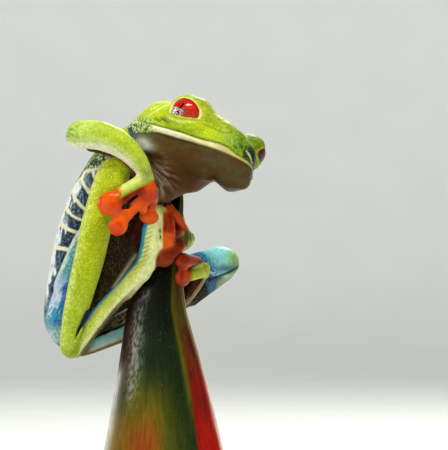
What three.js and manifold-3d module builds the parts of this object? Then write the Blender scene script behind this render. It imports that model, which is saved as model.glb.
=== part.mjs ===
// Red-eyed tree frog, a life-size still model crouched on the cut tip of a heliconia bract.
// Millimetres, +Z up, origin at the centre of the stand's underside, the animal's right side towards -Y.
import * as THREE from "three";
import { mergeVertices } from "three/addons/utils/BufferGeometryUtils.js";
import Module from "manifold-3d";

const wasm = await Module();
wasm.setup();

// Driving dimensions.
const CLEARANCE = 0.3;
const BASE_RADIUS = 26;
const BASE_HEIGHT = 5;
const BASE_BEVEL = 0.8;
const ROD_RADIUS = 2;
const PERCH_BOTTOM = 20;
const SNOUT_LENGTH = 18.3;
const JAW_HALF_WIDTH = 9.8;
const SKULL_HEIGHT = 6.8;
const THROAT_DEPTH = 6;
const EYE_RADIUS = 2.9;
const EYE_BULGE_RADIUS = 3.7;
const EYE_PLACE = { forward: 6.7, side: 6.7, up: 3.7 };
const EYE_OUTWARD = 1.15;
const HEAD_CENTRE = new THREE.Vector3(3.8, -2, 74.3);
const HEAD_FORWARD = new THREE.Vector3(0.66, -0.727, -0.19);
const HEAD_LEFT = new THREE.Vector3(0.62, 0.67, -0.42);
const LIMB_SIDES = 10;
const LIMB_RINGS = 10;
const DIGIT_SIDES = 6;
const DIGIT_RINGS = 6;

// ---------------------------------------------------------------- solids

// A closed three.js geometry as a manifold solid.
function solidOf(geometry) {
  const bare = geometry.clone();
  bare.deleteAttribute("normal");
  bare.deleteAttribute("uv");
  const merged = mergeVertices(bare, 1e-4);
  const mesh = new wasm.Mesh({
    numProp: 3,
    vertProperties: new Float32Array(merged.getAttribute("position").array),
    triVerts: new Uint32Array(merged.index.array),
  });
  return new wasm.Manifold(mesh);
}

// A manifold solid as a three.js geometry.
function geometryOf(solid) {
  const mesh = solid.getMesh();
  const points = [];
  for (let i = 0; i < mesh.vertProperties.length; i += mesh.numProp) {
    points.push(mesh.vertProperties[i], mesh.vertProperties[i + 1], mesh.vertProperties[i + 2]);
  }
  const geometry = new THREE.BufferGeometry();
  geometry.setAttribute("position", new THREE.Float32BufferAttribute(points, 3));
  geometry.setIndex(Array.from(mesh.triVerts));
  return geometry;
}

// The largest piece, without the slivers that a cut may leave.
function largest(solid) {
  const pieces = solid.decompose();
  return pieces.reduce((best, piece) => (piece.volume() > best.volume() ? piece : best));
}

function join(solids) {
  return solids.reduce((all, solid) => all.add(solid));
}

function cut(solid, tools) {
  return largest(tools.reduce((left, tool) => left.subtract(tool), solid));
}

// A sphere whose rings are laid along a line: place(t, angle) gives the point, t 0 at the start, 1 at the end.
function lofted(sides, rings, place) {
  const sphere = new THREE.SphereGeometry(1, sides, rings);
  sphere.deleteAttribute("normal");
  sphere.deleteAttribute("uv");
  const geometry = mergeVertices(sphere, 1e-4);
  const position = geometry.getAttribute("position");
  const point = new THREE.Vector3();
  for (let i = 0; i < position.count; i++) {
    point.fromBufferAttribute(position, i);
    const t = (1 - THREE.MathUtils.clamp(point.y, -1, 1)) / 2;
    const angle = Math.atan2(point.z, point.x);
    const placed = place(t, angle, Math.hypot(point.x, point.z) < 1e-3);
    position.setXYZ(i, placed.x, placed.y, placed.z);
  }
  const solid = solidOf(geometry);
  if (solid.volume() > 0) return solid;
  geometry.setIndex(Array.from(geometry.index.array).reverse());
  return solidOf(geometry);
}

// How wide a rounded end is, as a share of full width, at a distance from the tip.
function roundedEnd(distance, length) {
  const x = THREE.MathUtils.clamp(distance / length, 0, 1);
  return Math.sqrt(1 - (1 - x) * (1 - x));
}

// A limb along stations [x, y, z, halfWidth, halfThickness]; its width lies across flat, its thickness along it.
function limb(stations, flat, options = {}) {
  const { grow = 0, sides = LIMB_SIDES, rings = LIMB_RINGS, power = 1 } = options;
  const path = new THREE.CatmullRomCurve3(stations.map((s) => new THREE.Vector3(s[0], s[1], s[2])));
  const sizes = new THREE.CatmullRomCurve3(stations.map((s) => new THREE.Vector3(s[3], s[4], 0)));
  const length = path.getLength();
  const startRound = (stations[0][3] + stations[0][4]) / 2 + grow;
  const last = stations[stations.length - 1];
  const endRound = (last[3] + last[4]) / 2 + grow;
  return lofted(sides, rings, (t, angle, pole) => {
    const along = path.getUtoTmapping(t);
    const centre = path.getPoint(along);
    const tangent = path.getTangent(along);
    const across = new THREE.Vector3().crossVectors(flat, tangent).normalize();
    const through = new THREE.Vector3().crossVectors(tangent, across).normalize();
    const reach = t * (length + 2 * grow) - grow;
    const overshoot = Math.min(reach, 0) + Math.max(reach - length, 0);
    const size = sizes.getPoint(along);
    const fromStart = reach + grow;
    const fromEnd = length + grow - reach;
    const round = roundedEnd(fromStart, startRound) * roundedEnd(fromEnd, endRound);
    const width = pole ? 0 : (size.x + grow) * round * bow(Math.cos(angle), power);
    const thickness = pole ? 0 : (size.y + grow) * round * bow(Math.sin(angle), power);
    return centre
      .addScaledVector(tangent, overshoot)
      .addScaledVector(across, width)
      .addScaledVector(through, thickness);
  });
}

// A signed power: below 1 it makes an ellipse boxier.
function bow(value, power) {
  return Math.sign(value) * Math.abs(value) ** power;
}

// An ellipsoid with radii along three axes, of which only the first two are given.
function ellipsoid(centre, radii, axis, side, grow = 0, detail = 8) {
  const geometry = new THREE.SphereGeometry(1, detail, Math.round(detail * 0.7));
  const x = axis.clone().normalize();
  const z = new THREE.Vector3().crossVectors(x, side).normalize();
  const y = new THREE.Vector3().crossVectors(z, x);
  const matrix = new THREE.Matrix4().makeBasis(x, y, z);
  matrix.scale(new THREE.Vector3(radii[0] + grow, radii[1] + grow, radii[2] + grow));
  matrix.setPosition(centre);
  geometry.applyMatrix4(matrix);
  return solidOf(geometry);
}

// ---------------------------------------------------------------- head, in its own frame

// Head frame: x forward, y left, z up, origin midway between the corners of the mouth.
const headLeft = HEAD_LEFT.clone();
const headForward = HEAD_FORWARD.clone().normalize();
headLeft.addScaledVector(headForward, -headLeft.dot(headForward)).normalize();
const headUp = new THREE.Vector3().crossVectors(headForward, headLeft);
const headMatrix = new THREE.Matrix4().makeBasis(headForward, headLeft, headUp).setPosition(HEAD_CENTRE);

// Stations from the neck to the snout: forward, half width, height above the mouth, depth of the jaw below it.
const HEAD_STATIONS = [
  [-5.5, 7.6, 5.8, 4.6],
  [-3, 9, 6.5, 5.6],
  [0, JAW_HALF_WIDTH, SKULL_HEIGHT, THROAT_DEPTH],
  [3.5, 9.5, 6.9, THROAT_DEPTH],
  [7, 8.8, 6.6, 4.6],
  [10, 7.8, 5.8, 3.8],
  [13, 6.4, 4.8, 3.4],
  [16, 4.6, 3.9, 3],
  [SNOUT_LENGTH, 2.8, 3, 2.4],
];
const headLine = new THREE.CatmullRomCurve3(HEAD_STATIONS.map((s) => new THREE.Vector3(s[0], s[1], 0)));
const headDepths = new THREE.CatmullRomCurve3(HEAD_STATIONS.map((s) => new THREE.Vector3(0, s[2], s[3])));

// One half of the head, above the mouth (side 1) or below it (side -1).
function headHalf(side, grow = 0) {
  const nose = SNOUT_LENGTH + grow;
  const back = HEAD_STATIONS[0][0] - grow;
  const seam = side > 0 ? -grow : -CLEARANCE + grow;
  const short = side > 0 ? 0 : 0.5;
  return lofted(20, 13, (t, angle, pole) => {
    const forward = back + t * (nose - short - back);
    const index = stationAt(THREE.MathUtils.clamp(forward, HEAD_STATIONS[0][0], SNOUT_LENGTH));
    const line = headLine.getPoint(index);
    const depth = headDepths.getPoint(index);
    const noseRound = roundedEnd(nose - short - forward, 3.4) ** 0.8;
    const round = noseRound * roundedEnd(forward - back, 3);
    const wide = (line.y - short + grow) * round * bow(Math.cos(angle), 0.86);
    const high = (side > 0 ? depth.y : depth.z) + 2 * grow;
    const lift = Math.max(0, side * Math.sin(angle)) ** 0.9 * high * Math.sqrt(round);
    return new THREE.Vector3(forward, pole ? 0 : wide, seam + side * (pole ? 0 : lift));
  });
}

// The curve parameter of a place along the head.
function stationAt(forward) {
  for (let i = 1; i < HEAD_STATIONS.length; i++) {
    const from = HEAD_STATIONS[i - 1][0];
    const to = HEAD_STATIONS[i][0];
    if (forward <= to) return (i - 1 + (forward - from) / (to - from)) / (HEAD_STATIONS.length - 1);
  }
  return 1;
}

// The centre of an eye's bulge, and of the eyeball, which sits further out. side is 1 left, -1 right.
function bulgeCentre(side) {
  return new THREE.Vector3(EYE_PLACE.forward, side * EYE_PLACE.side, EYE_PLACE.up);
}

function gaze(side) {
  return new THREE.Vector3(0.28, side * 0.88, 0.38).normalize();
}

function eyeCentre(side) {
  return bulgeCentre(side).addScaledVector(gaze(side), EYE_OUTWARD);
}

function eyeball(side, grow = 0) {
  const geometry = new THREE.SphereGeometry(EYE_RADIUS + grow, 14, 9);
  const turn = new THREE.Quaternion().setFromUnitVectors(new THREE.Vector3(0, 1, 0), gaze(side));
  geometry.applyQuaternion(turn);
  const centre = eyeCentre(side);
  geometry.translate(centre.x, centre.y, centre.z);
  return solidOf(geometry);
}

function bulge(side) {
  const radii = [EYE_BULGE_RADIUS + 0.3, EYE_BULGE_RADIUS, EYE_BULGE_RADIUS];
  return ellipsoid(bulgeCentre(side), radii, new THREE.Vector3(1, 0, 0), new THREE.Vector3(0, 1, 0), 0, 12);
}

function brow(side) {
  const centre = new THREE.Vector3(11.2, side * 4.1, 3.5);
  const line = new THREE.Vector3(1, -side * 0.42, -0.14);
  return ellipsoid(centre, [6, 1.7, 1.6], line, new THREE.Vector3(0, 1, 0));
}

const sockets = [eyeball(1, CLEARANCE), eyeball(-1, CLEARANCE)];
const skull = cut(join([headHalf(1), bulge(1), bulge(-1), brow(1), brow(-1)]), sockets);
const jaw = cut(headHalf(-1), sockets);
const headRoom = join([headHalf(1, CLEARANCE), headHalf(-1, CLEARANCE)]).transform(headMatrix.elements);

// ---------------------------------------------------------------- body and limbs, in the model's frame

const TOWARDS_FRONT = new THREE.Vector3(0, -1, 0);

// Stations: x, y, z, half width, half thickness.
const TRUNK_STATIONS = [
  [-15.7, 4.6, 40.2, 3.6, 3.4],
  [-14.4, 5, 43.6, 5.8, 5],
  [-13, 5.3, 48, 6.6, 5.9],
  [-11.6, 5.2, 52.5, 7.4, 6.5],
  [-10.2, 5, 57, 8, 6.8],
  [-8.4, 4.5, 62, 8.5, 6.7],
  [-5.9, 3.2, 67.4, 8.4, 6.6],
  [-2.2, 1, 72, 8.2, 6.6],
  [3, -1.6, 74.6, 7.8, 6],
];
const TRUNK_BACK = new THREE.Vector3(-0.62, 0.62, 0.4);

const RIGHT_LEG = {
  thigh: [
    [-16, 0.9, 42, 3, 2.5],
    [-15.2, 0, 46, 3.6, 2.8],
    [-13.4, -1.6, 51, 3.3, 2.7],
    [-11.6, -2.8, 56.4, 3.1, 2.6],
    [-9.6, -3.6, 61, 3, 2.5],
    [-8, -4.6, 66, 2.6, 2.3],
    [-6.6, -6, 71.6, 2, 1.8],
  ],
  shank: [
    [-6.5, -9, 72.6, 2.2, 2],
    [-7.6, -9.4, 68.5, 2.7, 2.2],
    [-9.3, -9.6, 63, 2.7, 2.3],
    [-10.6, -9.4, 57, 2.65, 2.3],
    [-12.2, -8.8, 51, 2.4, 2.1],
    [-13.6, -8.2, 45.5, 2, 1.8],
    [-14.6, -7.4, 39.6, 1.6, 1.5],
  ],
  tarsus: [
    [-14.2, -5.9, 39.6, 1.5, 1.4],
    [-11.5, -5.8, 43.8, 1.7, 1.4],
    [-8, -5.6, 48.1, 1.65, 1.4],
    [-4.2, -5.4, 52.2, 1.6, 1.4],
    [-1.6, -5.3, 55.8, 1.5, 1.4],
    [-0.6, -5.2, 60, 1.4, 1.3],
    [0.5, -5.1, 64.6, 1.1, 1.1],
  ],
};

const LEFT_LEG = {
  thigh: [
    [-12.4, 8.6, 44.6, 2.8, 2.6],
    [-7.5, 10.8, 48.8, 3, 2.8],
    [-1, 12.6, 51.4, 3, 2.7],
    [6, 13.4, 54, 2.8, 2.5],
    [13.6, 13.6, 56, 2.3, 2],
  ],
  shank: [
    [12.8, 16.2, 54.2, 1.9, 1.9],
    [9, 15.3, 52.6, 2.2, 2.1],
    [3, 13, 48.8, 2.4, 2.1],
    [-3.4, 10.6, 45.6, 2.2, 2],
    [-9.8, 8.6, 42.7, 1.9, 1.8],
    [-14.6, 7.2, 40.2, 1.5, 1.5],
  ],
  tarsus: [
    [-14, 4.7, 40, 1.3, 1.3],
    [-9, 5.2, 42, 1.5, 1.4],
    [-3, 5.6, 44.4, 1.5, 1.4],
    [2, 5.6, 47, 1.5, 1.4],
    [5.3, 4.4, 50.2, 1.4, 1.3],
    [7.9, 2.5, 53.6, 1.1, 1.1],
  ],
};

const RIGHT_ARM = {
  upper: [
    [-3, -3.6, 73.2, 2.2, 2],
    [-6.8, -5.6, 75, 2, 1.9],
    [-10.6, -7.2, 76, 2, 1.9],
    [-13.6, -8.4, 76.3, 1.8, 1.7],
  ],
  fore: [
    [-14.6, -9.6, 76, 2.3, 2.1],
    [-12.2, -10.4, 76.3, 2.45, 2.2],
    [-9, -10.9, 76.1, 2.5, 2.2],
    [-6, -11.2, 74.9, 2.35, 2],
    [-3.4, -11.4, 72.7, 1.9, 1.7],
    [-1.8, -11.5, 70.2, 1.4, 1.4],
    [-1.2, -11.5, 68.4, 1.2, 1.3],
  ],
};

const LEFT_ARM = {
  upper: [
    [-0.2, 4.4, 69, 2.1, 2],
    [1.6, 7, 65.4, 2, 1.9],
    [2.9, 8.6, 61.6, 1.9, 1.8],
    [3, 8.8, 59, 1.7, 1.6],
  ],
  fore: [
    [2.2, 8.6, 57.4, 1.6, 1.6],
    [3.8, 6.6, 58.6, 1.8, 1.7],
    [4.8, 3.6, 59.2, 1.7, 1.6],
    [5, 0.6, 59.3, 1.3, 1.3],
  ],
};

// Digits: stations of the stalk, then the pad's radii along, across and through, and the way its face looks.
const RIGHT_HAND = [
  {
    stalk: [[-1, -12.2, 68.9], [-2.8, -12.9, 68.3], [-5, -13.4, 66.7], [-7.3, -13.7, 64.9]],
    pad: [2.3, 2.1, 1.15],
    face: [0.1, -1, 0.1],
  },
  {
    stalk: [[-0.6, -12.2, 67.8], [-2, -12.4, 65.8], [-4.1, -12.9, 63.3], [-6, -13.2, 61.3]],
    pad: [1.9, 1.6, 1.05],
    face: [0.1, -1, -0.1],
  },
  {
    stalk: [[-0.5, -11.4, 68], [-0.2, -11, 66.2], [-0.6, -10.2, 64.4], [-1.1, -9.8, 62.9]],
    pad: [1.5, 1.75, 1],
    face: [0.15, -1, -0.2],
  },
  {
    stalk: [[-1.2, -11, 67.8], [-2.6, -10.6, 66.6], [-3.4, -10.2, 65.2]],
    pad: [1.3, 1.2, 0.9],
    face: [-0.3, -1, 0],
  },
];

const LEFT_HAND = [
  {
    stalk: [[4.6, -1.2, 60], [4.2, -2.6, 61.4], [3.2, -3.3, 63.1], [2, -3, 64.4]],
    pad: [1.1, 0.9, 0.8],
    face: [-0.2, -1, 0.2],
  },
  {
    stalk: [[4.6, -1.6, 59.6], [4, -3.4, 60.3], [3, -4.2, 60], [2.2, -4.4, 59.2]],
    pad: [1.5, 1.4, 0.9],
    face: [-0.1, -1, 0],
  },
  {
    stalk: [[4.6, -1.4, 58.8], [4, -3.4, 58], [2.9, -4.4, 56.8], [1.5, -4.8, 55.9]],
    pad: [1.9, 1.4, 0.95],
    face: [-0.1, -1, -0.1],
  },
];

const RIGHT_FOOT = [
  {
    stalk: [[0.7, -5.3, 64.4], [1.9, -5.4, 63], [2.2, -5.6, 61.6], [1.9, -5.7, 60.2]],
    pad: [2, 1.1, 0.9],
    face: [0, -1, 0],
  },
  {
    stalk: [[-0.2, -4.4, 62.6], [-2.2, -4.4, 62.6], [-3.3, -4.3, 61.2], [-3.8, -4.3, 59.8]],
    pad: [1.5, 1.1, 0.8],
    face: [-0.2, -1, 0],
  },
  {
    stalk: [[-0.8, -4.6, 60.8], [-2, -4.2, 60.4], [-2.6, -4, 59.2], [-2.6, -3.9, 58]],
    pad: [1.3, 1, 0.8],
    face: [-0.2, -1, 0],
  },
];

const LEFT_FOOT = [
  {
    stalk: [[7.8, 1.6, 53.8], [6.8, -0.2, 53.4], [5.6, -2, 53.1], [4.3, -3.2, 52.8]],
    pad: [1.7, 1.6, 1],
    face: [0.1, -1, -0.1],
  },
  {
    stalk: [[7.5, 2, 54.8], [6.4, 0, 55.4], [5.3, -2, 55.6], [4.4, -3.2, 55.6]],
    pad: [2.3, 1.4, 1],
    face: [0.1, -1, 0.1],
  },
];

// A stalk with a flat round pad at its end.
function digit(plan, radius, grow = 0) {
  const stations = plan.stalk.map((p) => [...p, radius, radius * 0.85]);
  const end = new THREE.Vector3(...plan.stalk[plan.stalk.length - 1]);
  const before = new THREE.Vector3(...plan.stalk[plan.stalk.length - 2]);
  const way = end.clone().sub(before).normalize();
  const face = new THREE.Vector3(...plan.face);
  const side = new THREE.Vector3().crossVectors(face, way);
  const stalk = limb(stations, face, { sides: DIGIT_SIDES, rings: DIGIT_RINGS, grow });
  return stalk.add(ellipsoid(end, plan.pad, way, side, grow));
}

function digits(plans, radius, grow = 0) {
  return join(plans.map((plan) => digit(plan, radius, grow)));
}

// The web and palm that tie a hand's or foot's stalks together.
function palm(stations, grow = 0) {
  return limb(stations, TOWARDS_FRONT, { sides: 8, rings: 6, grow });
}

const RIGHT_PALM = [
  [-0.9, -12, 69.2, 1.3, 0.9],
  [-1.4, -12.1, 67.8, 1.9, 0.9],
  [-2.2, -12.3, 66.2, 1.9, 0.8],
  [-3, -12.5, 65, 1.2, 0.7],
];
const LEFT_PALM = [
  [5, -0.2, 59.8, 1.5, 1.2],
  [4.5, -2, 59.6, 2.2, 1.1],
  [3.7, -3.2, 59.2, 2, 0.9],
];
const RIGHT_SOLE = [
  [0.7, -5, 64.8, 1.1, 0.9],
  [-0.3, -4.9, 62.4, 1.4, 0.9],
  [-0.9, -4.8, 60.4, 1.3, 0.9],
];
const LEFT_SOLE = [
  [7.8, 2.6, 55, 1, 1],
  [7.7, 2, 53.9, 1.2, 1],
  [7.3, 1.4, 53.1, 1, 1],
];

const thighRight = (grow) => limb(RIGHT_LEG.thigh, TOWARDS_FRONT, { grow });
const shankRight = (grow) => limb(RIGHT_LEG.shank, TOWARDS_FRONT, { grow });
const tarsusRight = (grow) => limb(RIGHT_LEG.tarsus, TOWARDS_FRONT, { grow });
const footRight = (grow) => digits(RIGHT_FOOT, 0.85, grow).add(palm(RIGHT_SOLE, grow));
const thighLeft = (grow) => limb(LEFT_LEG.thigh, TOWARDS_FRONT, { grow });
const shankLeft = (grow) => limb(LEFT_LEG.shank, TOWARDS_FRONT, { grow });
const tarsusLeft = (grow) => limb(LEFT_LEG.tarsus, TOWARDS_FRONT, { grow });
const footLeft = (grow) => digits(LEFT_FOOT, 1.05, grow).add(palm(LEFT_SOLE, grow));
const upperArmRight = (grow) => limb(RIGHT_ARM.upper, TOWARDS_FRONT, { grow });
const forearmRight = (grow) => limb(RIGHT_ARM.fore, TOWARDS_FRONT, { grow });
const handRight = (grow) => digits(RIGHT_HAND, 0.85, grow).add(palm(RIGHT_PALM, grow));
const upperArmLeft = (grow) => limb(LEFT_ARM.upper, TOWARDS_FRONT, { grow });
const forearmLeft = (grow) => limb(LEFT_ARM.fore, TOWARDS_FRONT, { grow });
const handLeft = (grow) => digits(LEFT_HAND, 0.85, grow).add(palm(LEFT_PALM, grow));

// ---------------------------------------------------------------- bract and stand

// Bract stations: x, y, z, half width. Its section is a keel with one crisp edge towards the front right.
const BRACT_STATIONS = [
  [1.1, 0, PERCH_BOTTOM, 10.9],
  [1.1, 0, 24, 10.05],
  [0.7, 0, 36.5, 7.4],
  [0.1, 0.1, 44.5, 5.6],
  [0, 0.3, 48.5, 4.7],
  [1, 0.7, 55.5, 3.1],
  [2.3, 1.4, 61.5, 2],
  [3.1, 2.2, 65.2, 1.3],
  [3.6, 2.7, 67, 0.7],
];
const BRACT_SECTION = [
  [-1, 0.1],
  [-0.82, -0.3],
  [-0.45, -0.55],
  [0, -0.64],
  [0.56, -0.6],
  [0.82, -0.25],
  [1, 0.08],
  [0.72, 0.4],
  [0.2, 0.54],
  [-0.4, 0.52],
  [-0.84, 0.34],
];

function bract(grow = 0) {
  const path = new THREE.CatmullRomCurve3(BRACT_STATIONS.map((s) => new THREE.Vector3(s[0], s[1], s[2])));
  const widths = new THREE.CatmullRomCurve3(BRACT_STATIONS.map((s) => new THREE.Vector3(s[3], 0, 0)));
  const rings = 12;
  const points = [];
  for (let i = 0; i <= rings; i++) {
    const centre = path.getPoint(i / rings);
    const half = widths.getPoint(i / rings).x + grow;
    for (const [x, y] of BRACT_SECTION) {
      points.push(centre.x + x * half, centre.y + y * half, centre.z + (i === rings ? grow : 0));
    }
  }
  const around = BRACT_SECTION.length;
  const faces = [];
  for (let i = 0; i < rings; i++) {
    for (let j = 0; j < around; j++) {
      const a = i * around + j;
      const b = i * around + ((j + 1) % around);
      faces.push(a, b, a + around, b, b + around, a + around);
    }
  }
  const top = rings * around;
  for (let j = 1; j < around - 1; j++) {
    faces.push(0, j + 1, j, top, top + j, top + j + 1);
  }
  const geometry = new THREE.BufferGeometry();
  geometry.setAttribute("position", new THREE.Float32BufferAttribute(points, 3));
  geometry.setIndex(faces);
  return solidOf(geometry);
}

function standBase() {
  const profile = [
    new THREE.Vector2(0, 0),
    new THREE.Vector2(BASE_RADIUS, 0),
    new THREE.Vector2(BASE_RADIUS, BASE_HEIGHT - BASE_BEVEL),
    new THREE.Vector2(BASE_RADIUS - BASE_BEVEL, BASE_HEIGHT),
    new THREE.Vector2(0, BASE_HEIGHT),
  ];
  return new THREE.LatheGeometry(profile, 40).rotateX(Math.PI / 2);
}

function standRod() {
  const length = PERCH_BOTTOM - BASE_HEIGHT;
  const rod = new THREE.CylinderGeometry(ROD_RADIUS, ROD_RADIUS, length, 16);
  return rod.rotateX(Math.PI / 2);
}

// ---------------------------------------------------------------- the model

const limbGreen = new THREE.MeshStandardMaterial({ color: 0x9db826, roughness: 0.4, metalness: 0 });
const headGreen = new THREE.MeshStandardMaterial({ color: 0x84ad22, roughness: 0.4, metalness: 0 });
const throatCream = new THREE.MeshStandardMaterial({ color: 0xb09a80, roughness: 0.5, metalness: 0 });
const flankBlue = new THREE.MeshStandardMaterial({ color: 0x28405e, roughness: 0.45, metalness: 0 });
const thighBlue = new THREE.MeshStandardMaterial({ color: 0x2f8fa6, roughness: 0.35, metalness: 0 });
const padOrange = new THREE.MeshStandardMaterial({ color: 0xe2440c, roughness: 0.2, metalness: 0 });
const eyeRed = new THREE.MeshStandardMaterial({ color: 0xc01808, roughness: 0.08, metalness: 0 });
const bractGreen = new THREE.MeshStandardMaterial({ color: 0x25331a, roughness: 0.35, metalness: 0 });
const standGrey = new THREE.MeshStandardMaterial({ color: 0x2a2a2c, roughness: 0.5, metalness: 0 });

const frog = new THREE.Group();
const headGroup = new THREE.Group();
headGroup.position.copy(HEAD_CENTRE);
headGroup.quaternion.setFromRotationMatrix(headMatrix);

// A mesh whose own origin is the given point of its parent.
function part(name, geometry, material, parent, origin = new THREE.Vector3()) {
  const mesh = new THREE.Mesh(geometry.translate(-origin.x, -origin.y, -origin.z), material);
  mesh.name = name;
  mesh.position.copy(origin);
  parent.add(mesh);
  return mesh;
}

part("head", geometryOf(skull), headGreen, headGroup);
part("lower_jaw", geometryOf(jaw), throatCream, headGroup);
part("eye_left", geometryOf(eyeball(1)), eyeRed, headGroup);
part("eye_right", geometryOf(eyeball(-1)), eyeRed, headGroup);

// Each piece gives way to the ones before it in this list, with the clearance between them.
const TRUNK_SHAPE = { sides: 18, rings: 12, power: 0.95 };
const pieces = [
  ["perch_bract", bract, bractGreen],
  ["hand_right", handRight, padOrange],
  ["hand_left", handLeft, padOrange],
  ["foot_right", footRight, padOrange],
  ["foot_left", footLeft, padOrange],
  ["forearm_right", forearmRight, limbGreen],
  ["forearm_left", forearmLeft, limbGreen],
  ["tarsus_right", tarsusRight, limbGreen],
  ["tarsus_left", tarsusLeft, limbGreen],
  ["shank_right", shankRight, limbGreen],
  ["shank_left", shankLeft, thighBlue],
  ["thigh_right", thighRight, thighBlue],
  ["thigh_left", thighLeft, thighBlue],
  ["upper_arm_right", upperArmRight, limbGreen],
  ["upper_arm_left", upperArmLeft, limbGreen],
  ["trunk", (grow) => limb(TRUNK_STATIONS, TRUNK_BACK, { ...TRUNK_SHAPE, grow }), flankBlue],
];
const kept = [headRoom];
for (const [name, make, material] of pieces) {
  part(name, geometryOf(cut(make(0), kept)), material, frog);
  kept.push(make(CLEARANCE));
}

part("stand_base", standBase(), standGrey, frog);
const rodCentre = new THREE.Vector3(0, 0, (BASE_HEIGHT + PERCH_BOTTOM) / 2);
part("stand_rod", standRod().translate(0, 0, rodCentre.z), standGrey, frog, rodCentre);
frog.add(headGroup);

export default frog;
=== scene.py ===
import itertools
import math

import bpy
import numpy as np
import openvdb as vdb
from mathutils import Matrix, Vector


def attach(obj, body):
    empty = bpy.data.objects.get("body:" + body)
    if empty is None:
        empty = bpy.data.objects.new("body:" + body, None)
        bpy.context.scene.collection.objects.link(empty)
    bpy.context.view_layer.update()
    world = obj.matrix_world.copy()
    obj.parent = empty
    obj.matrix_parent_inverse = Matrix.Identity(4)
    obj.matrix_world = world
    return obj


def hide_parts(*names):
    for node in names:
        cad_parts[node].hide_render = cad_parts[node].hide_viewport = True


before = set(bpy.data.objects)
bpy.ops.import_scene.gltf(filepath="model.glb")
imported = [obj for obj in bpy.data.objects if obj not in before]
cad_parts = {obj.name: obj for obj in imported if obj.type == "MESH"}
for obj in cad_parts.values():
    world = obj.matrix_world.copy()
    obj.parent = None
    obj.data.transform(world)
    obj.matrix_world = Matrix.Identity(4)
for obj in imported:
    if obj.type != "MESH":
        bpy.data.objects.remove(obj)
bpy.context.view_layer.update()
MM = 0.001
VOXEL = 0.15  # mm
BAND = 3.0  # mm of true distance kept round each node


# ------------------------------------------------------------------ numbers
def unit(v):
    v = np.asarray(v, float)
    return v / np.linalg.norm(v, axis=-1, keepdims=True)


def fade(start, end, x):
    """A smooth step, from 0 where x is start to 1 where it is end, which may be the smaller of the two."""
    t = np.clip((x - start) / (end - start), 0.0, 1.0)
    return t * t * (3 - 2 * t)


def bell(x, width):
    return np.exp(-0.5 * (x / width) ** 2)


def smooth_min(a, b, k):
    """The smaller of two values, rounded where they are within k of each other."""
    h = np.maximum(k - np.abs(a - b), 0.0) / k
    return np.minimum(a, b) - h * h * k * 0.25


def nearest(p, a, b):
    """Where a segment comes closest to points, 0 at a and 1 at b, and how far away it is there.

    p holds one array for each coordinate; in here and below they may broadcast together.
    """
    step = np.subtract(b, a)
    t = np.clip(sum((v - o) * s for v, o, s in zip(p, a, step)) / (step @ step), 0.0, 1.0)
    return t, np.sqrt(sum((v - o - t * s) ** 2 for v, o, s in zip(p, a, step)))


def path_distance(p, path):
    """Distance from points to a path of straight pieces."""
    return np.min([nearest(p, a, b)[1] for a, b in zip(path, path[1:])], axis=0)


def ball_distance(p, centre):
    return np.sqrt(sum((v - o) ** 2 for v, o in zip(p, centre)))


def trilinear(array, place, ease=lambda t: t):
    """Values of a 3-D array at fractional indices; it repeats, and ease bends the way between cells."""
    cells = [np.floor(v).astype(int) for v in place]
    shares = [ease(v - i) for v, i in zip(place, cells)]
    total = 0
    for corner in itertools.product((0, 1), repeat=3):
        weight = math.prod(t if d else 1 - t for t, d in zip(shares, corner))
        total = total + weight * array[tuple((i + d) % n for i, d, n in zip(cells, corner, array.shape))]
    return total


LATTICE = np.random.default_rng(7).random((32, 32, 32)).astype(np.float32)


def noise(p, size, seed):
    """Smooth value noise, 0 to 1, at points in mm, with cells of the given size or sizes in mm."""
    place = p / np.asarray(size, float) + seed * 7.31
    return trilinear(LATTICE, place.T, lambda t: t * t * (3 - 2 * t))


def noises(p, seed, *sizes):
    """Several kinds of noise with seeds in a row."""
    return [noise(p, size, seed + i) for i, size in enumerate(sizes)]


# ------------------------------------------------------------------ the CAD nodes, in mm
JAW = (3.8, -2.0, 74.3)
# The flesh nodes in the order in which they are joined: how much a node's facets are softened, then the
# joint at which it grows out of the nodes before it, and the radius over which both run together there.
FLESH = {
    "trunk": (0.9, None, None),
    "head": (0.55, JAW, 12.0),
    "lower_jaw": (0.6, JAW, 12.0),
    "upper_arm_right": (0.4, (-3, -3.6, 73.4), 3.5),
    "upper_arm_left": (0.4, (0, 4.4, 69), 3.5),
    "thigh_right": (0.45, (-15.2, 1.5, 44), 4.0),
    "thigh_left": (0.45, (-12, 8.4, 45), 4.0),
    "shank_right": (0.45, (-6.6, -7.6, 71.6), 2.6),
    "shank_left": (0.45, (12.6, 15, 55), 2.4),
    "tarsus_right": (0.4, (-14.4, -6.6, 40.4), 2.2),
    "tarsus_left": (0.4, (-14.3, 6, 40.2), 2.2),
    "foot_right": (0.2, (0.3, -5, 64), 1.6),
    "foot_left": (0.2, (7.8, 2.4, 54), 1.6),
    "forearm_right": (0.4, (-14, -9, 76.1), 2.6),
    "forearm_left": (0.4, (2.7, 8.7, 58.3), 2.4),
    "hand_right": (0.2, (-1.1, -11.8, 69), 1.6),
    "hand_left": (0.2, (4.9, 0, 59.5), 1.6),
}


def node_mesh(name):
    """Welded vertices in mm and triangles of a CAD node."""
    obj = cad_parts[name]
    mesh = obj.data
    mesh.calc_loop_triangles()
    points = np.empty(len(mesh.vertices) * 3, np.float32)
    mesh.vertices.foreach_get("co", points)
    points = points.reshape(-1, 3) @ np.array(obj.matrix_world.to_3x3(), np.float32).T
    points = (points + np.array(obj.matrix_world.translation, np.float32)) / MM
    tris = np.empty(len(mesh.loop_triangles) * 3, np.int32)
    mesh.loop_triangles.foreach_get("vertices", tris)
    unique, back = np.unique(np.round(points, 3), axis=0, return_inverse=True)
    return unique.astype(np.float32), back.reshape(-1)[tris].reshape(-1, 3).astype(np.uint32)


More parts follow.
